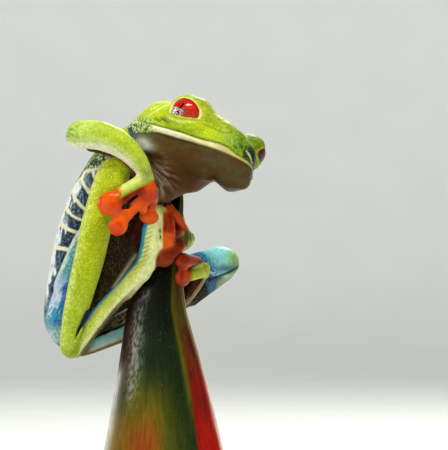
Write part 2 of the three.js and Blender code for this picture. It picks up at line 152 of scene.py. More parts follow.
# ------------------------------------------------------------------ distance fields
meshes = {name: node_mesh(name) for name in FLESH}
MARGIN = BAND + 0.6
everything = np.vstack([points for points, tris in meshes.values()])
ORIGIN = np.floor((everything.min(0) - MARGIN) / VOXEL).astype(int)
SHAPE = np.ceil((everything.max(0) + MARGIN) / VOXEL).astype(int) - ORIGIN + 1


def blurred(a, sigma_mm):
    """Gaussian blur of an array, sigma in mm."""
    sigma = sigma_mm / VOXEL
    if sigma < 0.3:
        return a
    reach = math.ceil(sigma * 2.5)
    weights = bell(np.arange(-reach, reach + 1), sigma)
    weights /= weights.sum()
    for axis in range(3):
        padded = np.pad(a, [(reach, reach) if k == axis else (0, 0) for k in range(3)], mode="edge")
        out = np.zeros_like(a)
        for i, w in enumerate(weights):
            cut = [slice(None)] * 3
            cut[axis] = slice(i, i + a.shape[axis])
            out += np.float32(w) * padded[tuple(cut)]
        a = out
    return a


class Field:
    """A node's signed distance in mm on its own box of the shared grid."""

    def __init__(self, name):
        points, tris = meshes[name]
        grid = vdb.FloatGrid.createLevelSetFromPolygons(
            points, triangles=tris, transform=vdb.createLinearTransform(VOXEL), halfWidth=BAND / VOXEL
        )
        self.lo = np.maximum(np.floor((points.min(0) - MARGIN) / VOXEL).astype(int), ORIGIN)
        hi = np.minimum(np.ceil((points.max(0) + MARGIN) / VOXEL).astype(int) + 1, ORIGIN + SHAPE)
        a = np.empty(tuple(hi - self.lo), np.float32)
        grid.copyToArray(a, ijk=tuple(int(v) for v in self.lo))
        self.a = blurred(a, FLESH[name][0])
        self.part = slices(self.lo - ORIGIN, hi - ORIGIN)

    def at(self, p):
        """The distance at points in mm."""
        q = p / VOXEL - self.lo
        inside = np.all((q >= 0) & (q <= np.array(self.a.shape) - 1.001), axis=1)
        out = np.full(len(p), BAND)
        out[inside] = trilinear(self.a, q[inside].T)
        return out


def slices(lo, hi):
    return tuple(slice(int(a), int(b)) for a, b in zip(lo, hi))


def block(centre, reach):
    """The slices of the shared grid within reach of a point, which may differ by axis, in mm."""
    lo = np.maximum(np.floor((np.asarray(centre) - reach) / VOXEL).astype(int) - ORIGIN, 0)
    hi = np.minimum(np.ceil((np.asarray(centre) + reach) / VOXEL).astype(int) - ORIGIN, SHAPE)
    return slices(lo, hi)


def coordinates(part):
    """Coordinates in mm along each axis of a block of the grid."""
    lines = [((np.arange(s.start, s.stop) + o) * VOXEL).astype(np.float32) for s, o in zip(part, ORIGIN)]
    return np.meshgrid(*lines, indexing="ij", sparse=True)


# ------------------------------------------------------------------ one body out of the nodes
CLOSE = 0.2  # mm each node is swollen by while they are joined, to close the clearance between neighbours
CREASE = 0.35  # mm over which two nodes run together away from a joint
fields = {name: Field(name) for name in FLESH}
body = np.full(tuple(SHAPE), BAND, np.float32)
for name, (soften, joint, radius) in FLESH.items():
    field = fields[name]
    k = np.float32(CREASE)
    if joint:
        far = sum((v - o) ** 2 for v, o in zip(coordinates(field.part), joint))
        k = CREASE + (1.5 if joint == JAW else 1.9) * np.exp(-0.5 * far / radius**2)
    body[field.part] = smooth_min(body[field.part], field.a - CLOSE, k)
body += CLOSE


def fill(a, ra, b, rb, soft):
    """Adds a tapered capsule to the body: from, radius, to, radius, and the softness of its edges, mm."""
    part = block(np.add(a, b) / 2, math.dist(a, b) / 2 + max(ra, rb) + 2)
    t, away = nearest(coordinates(part), a, b)
    body[part] = smooth_min(body[part], (away - ra - t * (rb - ra)).astype(np.float32), soft)


# Flesh that bridges neighbouring nodes.
fill((0.6, -2.5, 78.0), 3.5, (-3.4, -4.2, 75.8), 2.3, 1.6)  # nape, from the skull to the shoulder
fill((-0.6, -5.0, 67.25), 2.1, (1.3, -4.5, 67.3), 2.0, 1.0)  # chest, under the throat
fill((1.3, -4.4, 67.35), 1.95, (3.0, -3.4, 68.25), 1.9, 0.8)
fill((3.0, -3.4, 68.25), 1.9, (4.4, -2.2, 68.9), 2.1, 1.0)
fill((-13.6, -9.4, 75.7), 1.1, (-11.5, -9.9, 75.6), 1.1, 0.6)  # elbow of the right arm
fill((-4.9, -5.35, 50.4), 1.1, (-2.2, -5.3, 53.5), 1.15, 0.6)  # outer edge of the right tarsus
fill((-2.2, -5.3, 53.5), 1.15, (-1.15, -5.2, 55.2), 1.2, 0.6)
fill((-1.5, -5.3, 57.3), 1.1, (-1.2, -5.3, 61.2), 1.15, 0.6)
fill((-12.3, -3.2, 58.2), 1.6, (-15.4, -1.9, 51.6), 1.6, 1.0)  # outer edge of the right thigh
fill((-10.8, -6.7, 74.3), 0.74, (-7.0, -5.4, 73.7), 0.95, 0.6)  # under the right upper arm
fill((12.1, 15.9, 53.5), 1.0, (5.7, 13.9, 48.6), 1.0, 0.5)  # under the left shank
fill((-1.15, -5.2, 55.2), 1.25, (-0.78, -5.2, 57.4), 1.27, 0.5)  # between the two fills of the right tarsus
fill((-6.05, -8.9, 70.65), 1.95, (-6.9, -9.3, 68.0), 2.45, 0.8)  # knee of the right leg
fill((10.4, 13.8, 55.3), 2.45, (11.4, 14.2, 54.9), 2.3, 0.8)  # knee of the left leg
fill((-1.7, -12.4, 67.6), 0.95, (-5.3, -13.2, 65.2), 1.0, 0.5)  # webs of the right hand
fill((-0.8, -11.4, 65.9), 0.95, (-2.2, -11.9, 65.1), 0.8, 0.5)
fill((-2.2, -11.9, 65.1), 0.8, (-2.0, -11.9, 64.0), 0.75, 0.5)
fill((-2.3, -11.9, 68.9), 0.9, (-6.3, -12.8, 66.5), 0.85, 0.5)  # back of the fourth finger
fill((-6.6, -13.4, 63.2), 0.5, (-4.9, -13.2, 63.6), 0.5, 0.4)
fill((1.8, -3.3, 64.2), 0.8, (4.4, -1.2, 60.9), 0.85, 0.4)  # web and pads of the left hand
fill((2.0, -5.1, 61.6), 1.1, (2.1, -5.0, 58.6), 1.15, 0.4)
fill((3.5, -2.6, 59.6), 0.9, (2.6, -3.8, 57.6), 0.8, 0.4)
fill((1.3, -4.9, 58.6), 0.7, (1.0, -4.9, 56.6), 0.85, 0.4)
fill((4.5, -3.0, 55.4), 1.2, (6.8, 0.4, 55.3), 0.75, 0.4)  # inner toe of the left foot
fill((6.2, 0.7, 53.6), 0.65, (8.1, 1.8, 54.4), 0.7, 0.4)
fill((4.5, -1.5, 54.2), 0.75, (5.9, -0.2, 54.3), 0.65, 0.4)


def slit(path, wide, narrow, front):
    """Cuts a slit along a path of (X, Z) in mm, narrowing along it, through what lies before Y = front."""
    (x0, z0), (x1, z1) = np.min(path, 0) - 1.5, np.max(path, 0) + 1.5
    corners = np.array([(x0, front - 9, z0), (x1, front, z1)])
    lo, hi = np.round(corners / VOXEL).astype(int) - ORIGIN
    part = slices(np.maximum(lo, 0), hi)
    x, y, z = coordinates(part)
    away = 9.0
    for i, (a, b) in enumerate(zip(path, path[1:])):
        t, distance = nearest((x, z), a, b)
        away = np.minimum(away, distance - wide - (narrow - wide) * (i + t) / (len(path) - 1))
    away = away + 3 * fade(front - 0.6, front, y)
    body[part] = -smooth_min(-body[part], away.astype(np.float32), 0.25)


SLIT_HEEL = [(-11.2, 47.2), (-12.5, 44.6), (-13.45, 42.4)]  # between the right shank and tarsus
SLIT_FINGERS = [(-5.1, 64.4), (-4.1, 65.4), (-2.95, 66.25)]  # between two fingers of the right hand
slit(SLIT_HEEL, 0.4, 0.05, -5.2)
slit(SLIT_FINGERS, 0.26, 0.14, -10.6)

# ------------------------------------------------------------------ the head, in its own frame
# forward, left and up from midway between the corners of the mouth.
FORWARD = unit([0.66, -0.727, -0.19])
LEFT = np.array([0.62, 0.67, -0.42])
LEFT = unit(LEFT - FORWARD * (LEFT @ FORWARD))
UP = np.cross(FORWARD, LEFT)
SNOUT = 18.3


def straight_frame(x, y, z):
    x, y, z = x - JAW[0], y - JAW[1], z - JAW[2]
    return [x * a[0] + y * a[1] + z * a[2] for a in (FORWARD, LEFT, UP)]


def slack(x, y, z):
    """How far in X and in Z the left side of the snout is drawn in and its chin hangs, mm."""
    f, l, u = straight_frame(x, y, z)
    draw = fade(9.8, 13.2, f) * fade(-1.5, 2.5, l) * (0.5 + 0.65 * fade(-2.6, 0.4, u))
    hang = 0.55 * fade(7.5, 10.5, f) * fade(-3, 1, l) * fade(-1.0, -2.6, u)
    return draw, hang


def head_frame(x, y, z):
    draw, hang = slack(x, y, z)
    return straight_frame(x + draw, y, z + hang)


def head_point(f, l, u):
    return JAW + f * FORWARD + l * LEFT + u * UP


def mouth_line(f):
    """Height of the slit of the mouth, which is the lower edge of the pale lip."""
    return np.interp(f, [-2, 2, 4, 8, 12, 15.5, SNOUT], [-1.8, -1.3, -0.85, -0.75, -0.4, 0, 0])


def lip_line(f):
    """Height of the upper edge of the pale lip."""
    return np.interp(f, [0, 7, 9.5, 12, 14.3, 15.7, 16.7, SNOUT], [0.1, 0.12, 0.3, 0.6, 1.0, 0.95, 0.6, 0.4])


part = block(head_point(13, 2, -1), 9.5)
x, y, z = coordinates(part)
draw, hang = slack(x, y, z)
source = zip(np.broadcast_arrays(x + draw, y, z + hang), ORIGIN, SHAPE)
body[part] = trilinear(body, [np.clip(v / VOXEL - o, 0, n - 1.001) for v, o, n in source])
# The ridge from the right eye to the nostril, and the slope under it.
fill((8.2, -11.6, 79.6), 1.0, (13.3, -13.6, 75.75), 0.95, 1.3)
fill(head_point(9.9, -6.4, 3.9), 1.3, head_point(13.0, -4.2, 3.4), 1.15, 1.2)

# The eyeball, its lids and the opening between them.
EYE_PLACE = {-1: (6.87, 7.8, 3.82), 1: (7.18, 8.04, 4.54)}  # forward, outward, up, by side
EYEBALL = 2.65
LID, LID_RIM = 0.32, 0.15  # mm of skin over the eyeball, away from its opening and at the edge of it
PUPIL = (-0.09, 0.17)  # on the eye axes
# By side: the way the opening faces, and its half sizes as shares of the eyeball's radius.
OPENINGS = {-1: ((0.402, 0.914, -0.045), (0.94, 0.746)), 1: ((0.45, 0.87, 0.18), (0.97, 0.54))}


def eye_axes(side):
    """Unit axes of an eye as rows: along to the snout, rise to the crown, and out of the opening."""
    out = unit(OPENINGS[side][0])
    along = unit(np.cross(out, (0, 0, 1)))
    along = along * np.sign(along[0])
    rise = np.cross(along, out)
    return np.array([along, rise * np.sign(rise[2]), out])


EYE_AXES = {side: eye_axes(side) for side in OPENINGS}


def eye_frame(f, l, u, side):
    """Coordinates along, rise and out of the opening, in mm from the eyeball's centre."""
    f, l, u = f - EYE_PLACE[side][0], side * l - EYE_PLACE[side][1], u - EYE_PLACE[side][2]
    return [f * a[0] + l * a[1] + u * a[2] for a in EYE_AXES[side]]


def opening_edge(along, rise, out, side):
    """Distance in mm along the eyeball from the edge of its opening, below 0 inside it."""
    flat = np.sqrt(along**2 + rise**2) + 1e-6
    half = OPENINGS[side][1]
    reach = np.arcsin(1 / np.sqrt((along / flat / half[0]) ** 2 + (rise / flat / half[1]) ** 2))
    if side < 0:  # the lower lid is a shallow curve, rise = 0.222 (along + 0.3)^2 - 0.44 on the unit eyeball
        bend = 0.222 * (along / flat) ** 2 + 1e-3
        lean = (0.133 * along - rise) / flat
        low = (np.sqrt(lean**2 + 1.68 * bend) - lean) / (2 * bend)
        soft = 0.06 + 0.26 * fade(0.3, 0.95, along / flat)
        reach = smooth_min(reach, np.arcsin(np.minimum(low, 0.99)), soft)
    return (np.arctan2(flat, out) - reach) * EYEBALL


# Lids: a shell over the eyeball with a beaded rim, running softly into the head, and folds under it. By
# side: how many mm the brow's surface lies from the eyeball's, and how softly the brow joins the head.
for side, (brow, brow_soft) in {-1: (0.75, 1.2), 1: (0.3, 0.8)}.items():
    centre = head_point(EYE_PLACE[side][0], side * EYE_PLACE[side][1], EYE_PLACE[side][2])
    part = block(centre, EYEBALL + 3.2)
    along, rise, out = eye_frame(*head_frame(*coordinates(part)), side)
    r = ball_distance((along, rise, out), (0, 0, 0))
    edge = opening_edge(along, rise, out, side)
    deep = ball_distance((along, rise, out), (0, -0.5, -1.3)) - EYEBALL - brow
    here = smooth_min(body[part], deep, brow_soft)
    away = fade(0.1, 1.3, edge)
    run = 1.0 + 0.9 * fade(-0.5, -2.0, rise) + 0.9 * fade(0.3, 2.0, along) if side < 0 else 0.8
    shell = r - EYEBALL - LID_RIM - (LID - LID_RIM) * away
    here = smooth_min(here, shell, 0.15 + away * run)
    folds = 0.1 * bell(edge - 0.5, 0.11) - 0.08 * bell(edge - 0.78, 0.13)
    folds = folds + 0.08 * bell(edge - 1.1, 0.12) - 0.06 * bell(edge - 1.4, 0.14)
    here = here + folds * fade(0.3, -0.9, rise)
    # the skin falls towards the rim, so that the eyeball isn't sunk in a well
    past = np.maximum(edge, 0)
    funnel = r - EYEBALL - LID_RIM - 0.08 - 0.8 * past - 1.4 * past**2 - 6 * fade(0.4, 0.9, past)
    here = np.maximum(here, funnel)
    here = smooth_min(here, np.hypot(edge - 0.1, r - EYEBALL - 0.08) - 0.13, 0.1)
    here = np.maximum(here, np.minimum(-edge, EYEBALL + 2 - r))
    body[part] = np.maximum(here, EYEBALL - 0.08 - r)

# Mouth, lip, nostrils, ear and creases, as small displacements of the skin (above 0 is inwards).
SNOUT_RIDGE = [(17.4, -2.0, 1.8), (18.0, -1.1, 1.15), (18.15, 0.1, 0.5), (17.8, 1.1, -0.4), (17.4, 1.7, -1.2)]
# Behind and under the eye: from, to (forward, up) and depth, which is below 0 for a fold that stands out.
FOLDS = [
    ((0.6, 1.3), (1.5, 2.8), -0.16), ((1.5, 2.8), (1.7, 4.2), -0.16), ((0.0, 2.5), (0.5, 3.6), -0.14),
    ((3.2, 1.5), (4.7, 1.35), 0.14), ((4.6, 1.35), (6.4, 0.95), 0.14), ((2.2, 1.2), (3.4, 1.0), 0.1),
]
part = block(head_point(6, 0, 0), 15.5)
f, l, u = head_frame(*coordinates(part))
low, high, outward = mouth_line(f), lip_line(f), np.abs(l)
gape, side_on = fade(-2.5, 1.5, f), fade(5.5, 7.5, outward)
dent = -0.42 * fade(low - 2.2, low - 0.1, u) * fade(0.5, -0.3, u) * gape
dent += 0.22 * bell(u - low + 0.08, 0.13) * gape - 0.07 * bell(u - (low + high) / 2, 0.3)
dent += 0.13 * bell(u - high, 0.09)
nostril = ball_distance((f, outward, u), (15.9, 2.6, 3.0))
dent += 0.32 * bell(nostril, 0.24) - 0.12 * bell(nostril - 0.55, 0.2)
for a, b, depth in FOLDS:
    dent += depth * bell(path_distance((f, u), (a, b)), 0.16) * side_on
dent -= 0.05 * bell(np.hypot(f - 0.4, u - 3.6) - 1.25, 0.2) * side_on
# a valley between the throat and the chin, the fuller left corner of the chin, and a wet ridge down the snout
dent += 0.45 * bell(path_distance((f, l), ((12.6, -3.4), (4.6, 5.6))), 0.7) * fade(-1.6, -3.0, u)
dent -= 0.6 * bell(ball_distance((f, l, u), (17.2, 1.9, -2.6)), 1.1)
dent -= 0.12 * bell(path_distance((f, l, u), SNOUT_RIDGE), 0.16)
flesh = np.full(tuple(SHAPE), BAND, np.float32)
for field in (fields["head"], fields["lower_jaw"]):
    flesh[field.part] = np.minimum(flesh[field.part], field.a)
near = np.maximum(fade(1.4, 0.6, np.abs(flesh[part])), fade(9, 12, f))
body[part] += (dent * near).astype(np.float32)

# The throat is drawn up behind the chin in a notch with unequal sides.
NOTCH_X, NOTCH_TOP, NOTCH_SLOPES, NOTCH_ROUND = 9.52, 68.74, (0.75, 1.0), 0.3
part = block((10.2, -8, 69.1), (4, 12, 4))
x, y, z = coordinates(part)
slope = np.where(x < NOTCH_X, *NOTCH_SLOPES)
roof = NOTCH_TOP + NOTCH_ROUND - np.hypot(slope * (x - NOTCH_X), NOTCH_ROUND)
body[part] = -smooth_min(-body[part], ((z - roof) * 0.75).astype(np.float32), 0.5)


def pleats(x, y, z):
    """Pleats of loose skin, fanning out below the right armpit: 1 in a groove, -1 on a crest."""
    turn, reach = np.arctan2(z - 71.8, x + 1.4), np.hypot(z - 71.8, x + 1.4)
    there = bell(reach - 3.9, 1.6) * bell(turn + 0.85, 0.42) * fade(-0.5, -3.0, y)
    bent = turn + 0.035 * np.sin(1.3 * reach + 5 * turn) + 0.06 * np.sin(0.9 * reach + 1.0)
    return np.sin(bent * 25) * there * (0.7 + 0.3 * np.sin(1.7 * reach + 17 * turn))


part = block((1, -6, 69), 6.5)
body[part] += (0.17 * pleats(*coordinates(part))).astype(np.float32)
body = blurred(body, 0.11)


def mesh_object(name, points, faces):
    """A smooth mesh object from points in mm and faces of one size."""
    faces = np.asarray(faces, np.int32)
    count, sides = faces.shape
    mesh = bpy.data.meshes.new(name)
    mesh.vertices.add(len(points))
    mesh.vertices.foreach_set("co", (np.asarray(points) * MM).astype(np.float32).ravel())
    mesh.loops.add(count * sides)
    mesh.loops.foreach_set("vertex_index", faces.ravel())
    mesh.polygons.add(count)
    mesh.polygons.foreach_set("loop_start", np.arange(0, count * sides, sides, dtype=np.int32))
    mesh.polygons.foreach_set("loop_total", np.full(count, sides, np.int32))
    mesh.polygons.foreach_set("use_smooth", np.ones(count, bool))
    mesh.update(calc_edges=True)
    mesh.validate()
    obj = bpy.data.objects.new(name, mesh)
    bpy.context.scene.collection.objects.link(obj)
    return obj


def tube_faces(rows, turns):
    """Triangles that join rows of points, each a closed turn, and close both ends on two last points."""
    here = np.arange(rows * turns).reshape(rows, turns)
    beside = np.roll(here, -1, 1)
    foot, top = np.full(turns, rows * turns), np.full(turns, rows * turns + 1)
    corners = [(here[:-1], beside[:-1], beside[1:]), (here[:-1], beside[1:], here[1:])]
    corners += [(foot, beside[0], here[0]), (top, here[-1], beside[-1])]
    return np.vstack([np.stack([v.ravel() for v in triple], -1) for triple in corners])


grid = vdb.FloatGrid()
grid.background = BAND
grid.transform = vdb.createLinearTransform(VOXEL)
grid.copyFromArray(body, ijk=tuple(int(v) for v in ORIGIN), tolerance=0.0)
points, quads = grid.convertToQuads(0.0)
points = np.asarray(points, float)
skin = mesh_object("frog_skin", points, quads[:, ::-1])

# ------------------------------------------------------------------ paint, in sRGB from 0 to 255, by region
BLACK = (0, 0, 0)
# Painted light and shade: the pale chest is painted brown as shade, and the crests of its pleats carry
# painted highlights.
CHEST_IN_SHADE = (84, 56, 28)
PLEAT_HIGHLIGHT = (232, 216, 194)
PLEAT_CREST_HIGHLIGHT = (176, 160, 140)


class Coat:
    """Paint at points: one colour, with other colours laid over it."""

    def __init__(self, colour):
        self.rgb = np.array([colour], float)

    def over(self, colour, mask):
        """Lays a colour or another coat over this one, as far as the mask goes: 0 to 1 at each point."""
        mask = np.clip(mask, 0, 1)[:, None]
        top = colour.rgb if isinstance(colour, Coat) else np.array(colour, float)
        self.rgb = self.rgb * (1 - mask) + top * mask


def pleat_highlight(x, y, z):
    """Painted highlights on the crests of the pleats, 0 to 1: a fan of uneven streaks over a faint wash."""
    turn, reach = np.arctan2(z - 73.0, x + 2.4), np.hypot(z - 73.0, x + 2.4)
    streaks = noise(np.stack([turn * 19, reach * 0.6, 0 * turn], -1), 1.0, 9)
    there = bell(np.hypot((x - 0.3) / 1.7, (z - 69.0) / 2.3), 0.85) * fade(-1.5, -3.0, y)
    return there * (0.26 + 0.74 * fade(0.42, 0.6, streaks))


# Centrelines of the limbs and trunk, mm.
LINES = {
    "trunk": [
        (-15.7, 4.6, 40.2), (-13, 5.3, 48), (-10.2, 5, 57), (-8.4, 4.5, 62),
        (-5.9, 3.2, 67.4), (-2.2, 1, 72), (3, -1.6, 74.6),
    ],
    "thigh_right": [(-16, 0.9, 42), (-13.4, -1.6, 51), (-9.6, -3.6, 61), (-6.6, -6, 71.6)],
    "shank_right": [(-6.5, -9, 72.6), (-9.3, -9.6, 63), (-12.2, -8.8, 51), (-14.6, -7.4, 39.6)],
    "tarsus_right": [
        (-14.2, -5.9, 39.6), (-8, -5.6, 48.1), (-4.2, -5.4, 52.2), (-1.6, -5.3, 55.8), (0.5, -5.1, 64.6),
    ],
    "thigh_left": [(-12.4, 8.6, 44.6), (-1, 12.6, 51.4), (13.6, 13.6, 56)],
    "shank_left": [(12.8, 16.2, 54.2), (3, 13, 48.8), (-14.6, 7.2, 40.2)],
    "tarsus_left": [(-14, 4.7, 40), (-3, 5.6, 44.4), (5.3, 4.4, 50.2), (7.9, 2.5, 53.6)],
    "upper_arm_right": [(-3, -3.6, 73.2), (-13.6, -8.4, 76.3)],
    "forearm_right": [
        (-14.6, -9.6, 76), (-9, -10.9, 76.1), (-6, -11.2, 74.9), (-3.4, -11.4, 72.7), (-1.2, -11.5, 68.4),
    ],
    "upper_arm_left": [(-0.2, 4.4, 69), (2.9, 8.6, 61.6), (3, 8.8, 59)],
    "forearm_left": [(2.2, 8.6, 57.4), (4.8, 3.6, 59.2), (5, 0.6, 59.3)],
}


def along_line(p, name):
    """Distance in mm along a node's centreline, that as a share of it, unit radial vectors and tangents."""
    line = np.array(LINES[name], float)
    best, where = np.full(len(p), np.inf), np.zeros(len(p))
    radial, tangent = np.zeros((len(p), 3)), np.zeros((len(p), 3))
    start = 0.0
    for a, b in zip(line, line[1:]):
        length = math.dist(a, b)
        t, away = nearest(p.T, a, b)
        closer = away < best
        best[closer] = away[closer]
        where[closer] = start + t[closer] * length
        radial[closer] = (p - a - t[:, None] * (b - a))[closer]
        tangent[closer] = (b - a) / length
        start += length
    return where, where / start, unit(radial + 1e-9), tangent


def upright_way(tangent):
    """The way below a limb, square to it in the XZ plane."""
    return unit(tangent[:, [2, 1, 0]] * (1, 0, -1))


def paint_head(name, p):
    f, l, u = head_frame(*p.T)
    x, y, z = p.T
    side = np.abs(l)
    broad, fine, tiny, dust = noises(p, 1, 2.4, 0.62, 0.32, 0.24)
    speck = (tiny + dust) / 2
    low, high = mouth_line(f), lip_line(f)
    c = Coat((168, 188, 14))
    c.over((186, 198, 12), fade(0.45, 0.75, broad) * 0.5)
    c.over((182, 202, 84), 0.75 * fade(2.6, -3.5, f))
    # painted highlight on the top of the nape
    c.over((222, 230, 170), fade(-1.0, -4.5, f) * fade(2.5, 5, u) * 0.8)
    # painted glints on the granules
    c.over((206, 218, 100), fade(0.62, 0.74, speck) * 0.4)
    c.over((128, 156, 12), fade(12.5, 15.4, f) * (0.65 + 0.5 * (fine - 0.5)))
    net = 0.15 * fine + 0.85 * tiny
    above = fade(high, high + 1.0, u)
    c.over((92, 124, 8), fade(15.3, 16.4, f + 0.6 * (fine - 0.5)) * above * 0.8)
    # painted shade on the upward-facing top of the head ahead of the eyes
    c.over(BLACK, 0.15 * fade(2.2, 4.2, u) * fade(4, 8, f))
    c.over((84, 118, 14), fade(13.9, 15.8, f) * fade(0.42, 0.54, net) * above * 0.7)
    c.over((40, 58, 12), fade(15.9, 16.8, f) * fade(0.5, 0.6, net) * above * 0.8)
    tip = fade(16.8, 17.5, f + 0.25 * (l + 2) + 0.5 * (fine - 0.5)) * fade(high - 0.1, high + 0.3, u)
    c.over((14, 24, 5), tip * (0.85 + 0.15 * fade(0.4, 0.3, net)))
    # painted shade in the hollow between the snout and the left eye
    c.over((46, 64, 16), fade(-0.2, 1.2, l) * fade(11.5, 13.5, f) * fade(0.3, 1.0, u) * 0.85)
    # painted highlight along the ridge down the snout
    c.over((208, 216, 206), bell(path_distance((f, l, u), SNOUT_RIDGE), 0.13) * fade(0.2, 0.4, tiny))
    cheek = bell(np.hypot(f - 14.0, u - 3.2), 0.7) * fade(-1, -3, l)
    c.over((196, 210, 120), cheek * fade(0.5, 0.6, tiny) * 0.6)
    corner = fade(5.0, 1.2, f + 1.2 * (tiny - 0.5)) * fade(1.6, -0.4, u) * fade(4, 6, side)
    c.over((172, 198, 96), corner * 0.9)
    c.over((226, 236, 206), corner * fade(0.55, 0.61, sum(noises(p, 7, 0.36, 0.25)) / 2))
    c.over((56, 88, 38), corner * fade(0.5, 0.56, speck))
    c.over((40, 66, 58), corner * fade(-0.2, -2.2, f) * fade(0.46, 0.56, speck) * fade(0.4, -1.2, u))
    # creases behind and under the eye: painted shade in the grooves and painted highlights on the folds that
    # stand out
    side_on = fade(5.0, 7.0, side)
    for a, b, depth in FOLDS:
        colour, strength = ((92, 104, 30), 0.8) if depth > 0 else ((224, 232, 170), 0.7)
        c.over(colour, bell(path_distance((f, u), (a, b)), 0.16) * side_on * strength)
    # lids: rim, furrows and crests, with painted shade and painted highlights
    for s in (-1, 1):
        along, rise, out = eye_frame(f, l, u, s)
        r = ball_distance((along, rise, out), (0, 0, 0))
        edge = opening_edge(along, rise, out, s)
        on_ball = fade(EYEBALL + 1.3, EYEBALL + 0.7, r)
        if s > 0:
            # painted shade round the left eye, which faces away from the light
            c.over((100, 126, 8), fade(EYEBALL + 2.2, EYEBALL + 1.0, r) * 0.85)
        under = fade(0.4, -0.8, rise)
        c.over((206, 200, 44), on_ball * bell(edge - 0.36, 0.16) * (0.7 - 0.4 * under))
        # painted shade in the furrows under the eye and painted highlights on the crests between them
        furrow, crest = (120, 144, 34), (206, 218, 140)
        for colour, place, width, strength in (
            (furrow, 0.5, 0.12, 0.6), (crest, 0.8, 0.13, 0.6),
            (furrow, 1.1, 0.13, 0.5), (crest, 1.4, 0.12, 0.4),
        ):
            c.over(colour, on_ball * under * bell(edge - place, width) * strength)
        # the left lid's rim is painted darker, as shade
        pale = (238, 234, 170) if s < 0 else (196, 192, 40)
        c.over(pale, on_ball * fade(0.24, 0.14, edge) * (1 - 0.55 * under))
        # painted shade where the lid meets the eyeball
        c.over((60, 34, 12), on_ball * fade(0.0, -0.09, edge) * 0.7)
    # lip
    lip = fade(low - 0.06, low + 0.06, u) * fade(high + 0.02, high - 0.1, u)
    stripe = lip * fade(2.0, 4.2, f + 2.6 * (tiny - 0.5))
    c.over((216, 206, 148), stripe)
    c.over((240, 236, 198), stripe * fade(11.5, 7.5, f))
    c.over((176, 168, 96), stripe * fade(13, 16, f) * 0.7)
    c.over((66, 84, 20), bell(u - high - 0.03, 0.12) * fade(-1.0, 1, f) * 0.85)
    # chin and throat, the pale throat painted brown as shade
    under = fade(low - 0.02, low - 0.14, u)
    chin = Coat((90, 68, 26))
    chin.over((84, 72, 38), fade(9, 14, f))
    chin.over((84, 50, 22), fade(-2.6, -5.0, u) * fade(11, 7, f) * 0.8)
    chin.over((90, 50, 20), fade(0.45, 0.7, noise(p, (3, 3, 1.2), 5)) * 0.45)
    chin.over((62, 48, 24), fade(0.5, 0.7, noise(p, (0.7, 0.7, 0.5), 6)) * 0.25)
    # painted shade in the notch behind the chin
    chin.over((40, 26, 12), bell(path_distance((x, z), ((9.4, 69.1), (11.1, 67.3))), 0.32) * 0.85)
    # painted shade under the lip
    chin.over((66, 38, 12), bell(u - low + 0.2, 0.18) * 0.7)
    chin.over((66, 66, 34), bell(np.hypot((f - 2.2) / 2.6, (u + 1.9) / 0.5), 0.8) * 0.9 * fade(6, 7, side))
    # painted highlight on a fold of the throat
    lit_fold_patch = bell(np.hypot((f - 0.4) / 2.6, (u + 3.4 - 0.1 * f) / 1.0), 0.7) * fade(5.0, 6.5, side)
    chin.over((250, 255, 252), lit_fold_patch * 1.4)
    groove = pleats(x, y, z)
    # painted highlights on the crests of the pleats
    chin.over((172, 156, 136), fade(0.1, 0.75, -groove) * 0.75)
    # painted shade on the underside of the chin
    chin.over(BLACK, 0.16 * fade(-2.6, -4.2, u) * fade(5, 9, f))
    chin.over(PLEAT_HIGHLIGHT, pleat_highlight(x, y, z) * 0.95)
    # painted shade in the grooves of the pleats
    chin.over((50, 32, 16), fade(0.05, 0.7, groove) * 0.6)
    chin.over((58, 96, 110), fade(0.0, -1.4, f) * fade(0.44, 0.54, speck) * fade(-4.2, -2.8, u))
    # painted shade along a fold of the throat
    fold = bell(path_distance((f, u), ((0.3, -4.5), (4.6, -4.2))), 0.32)
    chin.over((64, 40, 20), fold * fade(5.0, 6.5, side) * 0.8)
    c.over(chin, under)
    # painted shade in the slit of the mouth
    c.over(BLACK, 0.4 * bell(u - low + 0.06, 0.1) * fade(-1, 1.5, f))
    wet = 0.1 + 0.25 * fade(14, 17, f) + 0.1 * lip - 0.1 * under
    return c, wet, 0.8 * (1 - under) * (1 - lip)


TRUNK_BACK = unit([-0.62, 0.62, 0.4])
BARS = (16.6, 20.4, 23.1, 25.8, 28.9, 31.4)  # mm along the trunk where a pale bar crosses the flank


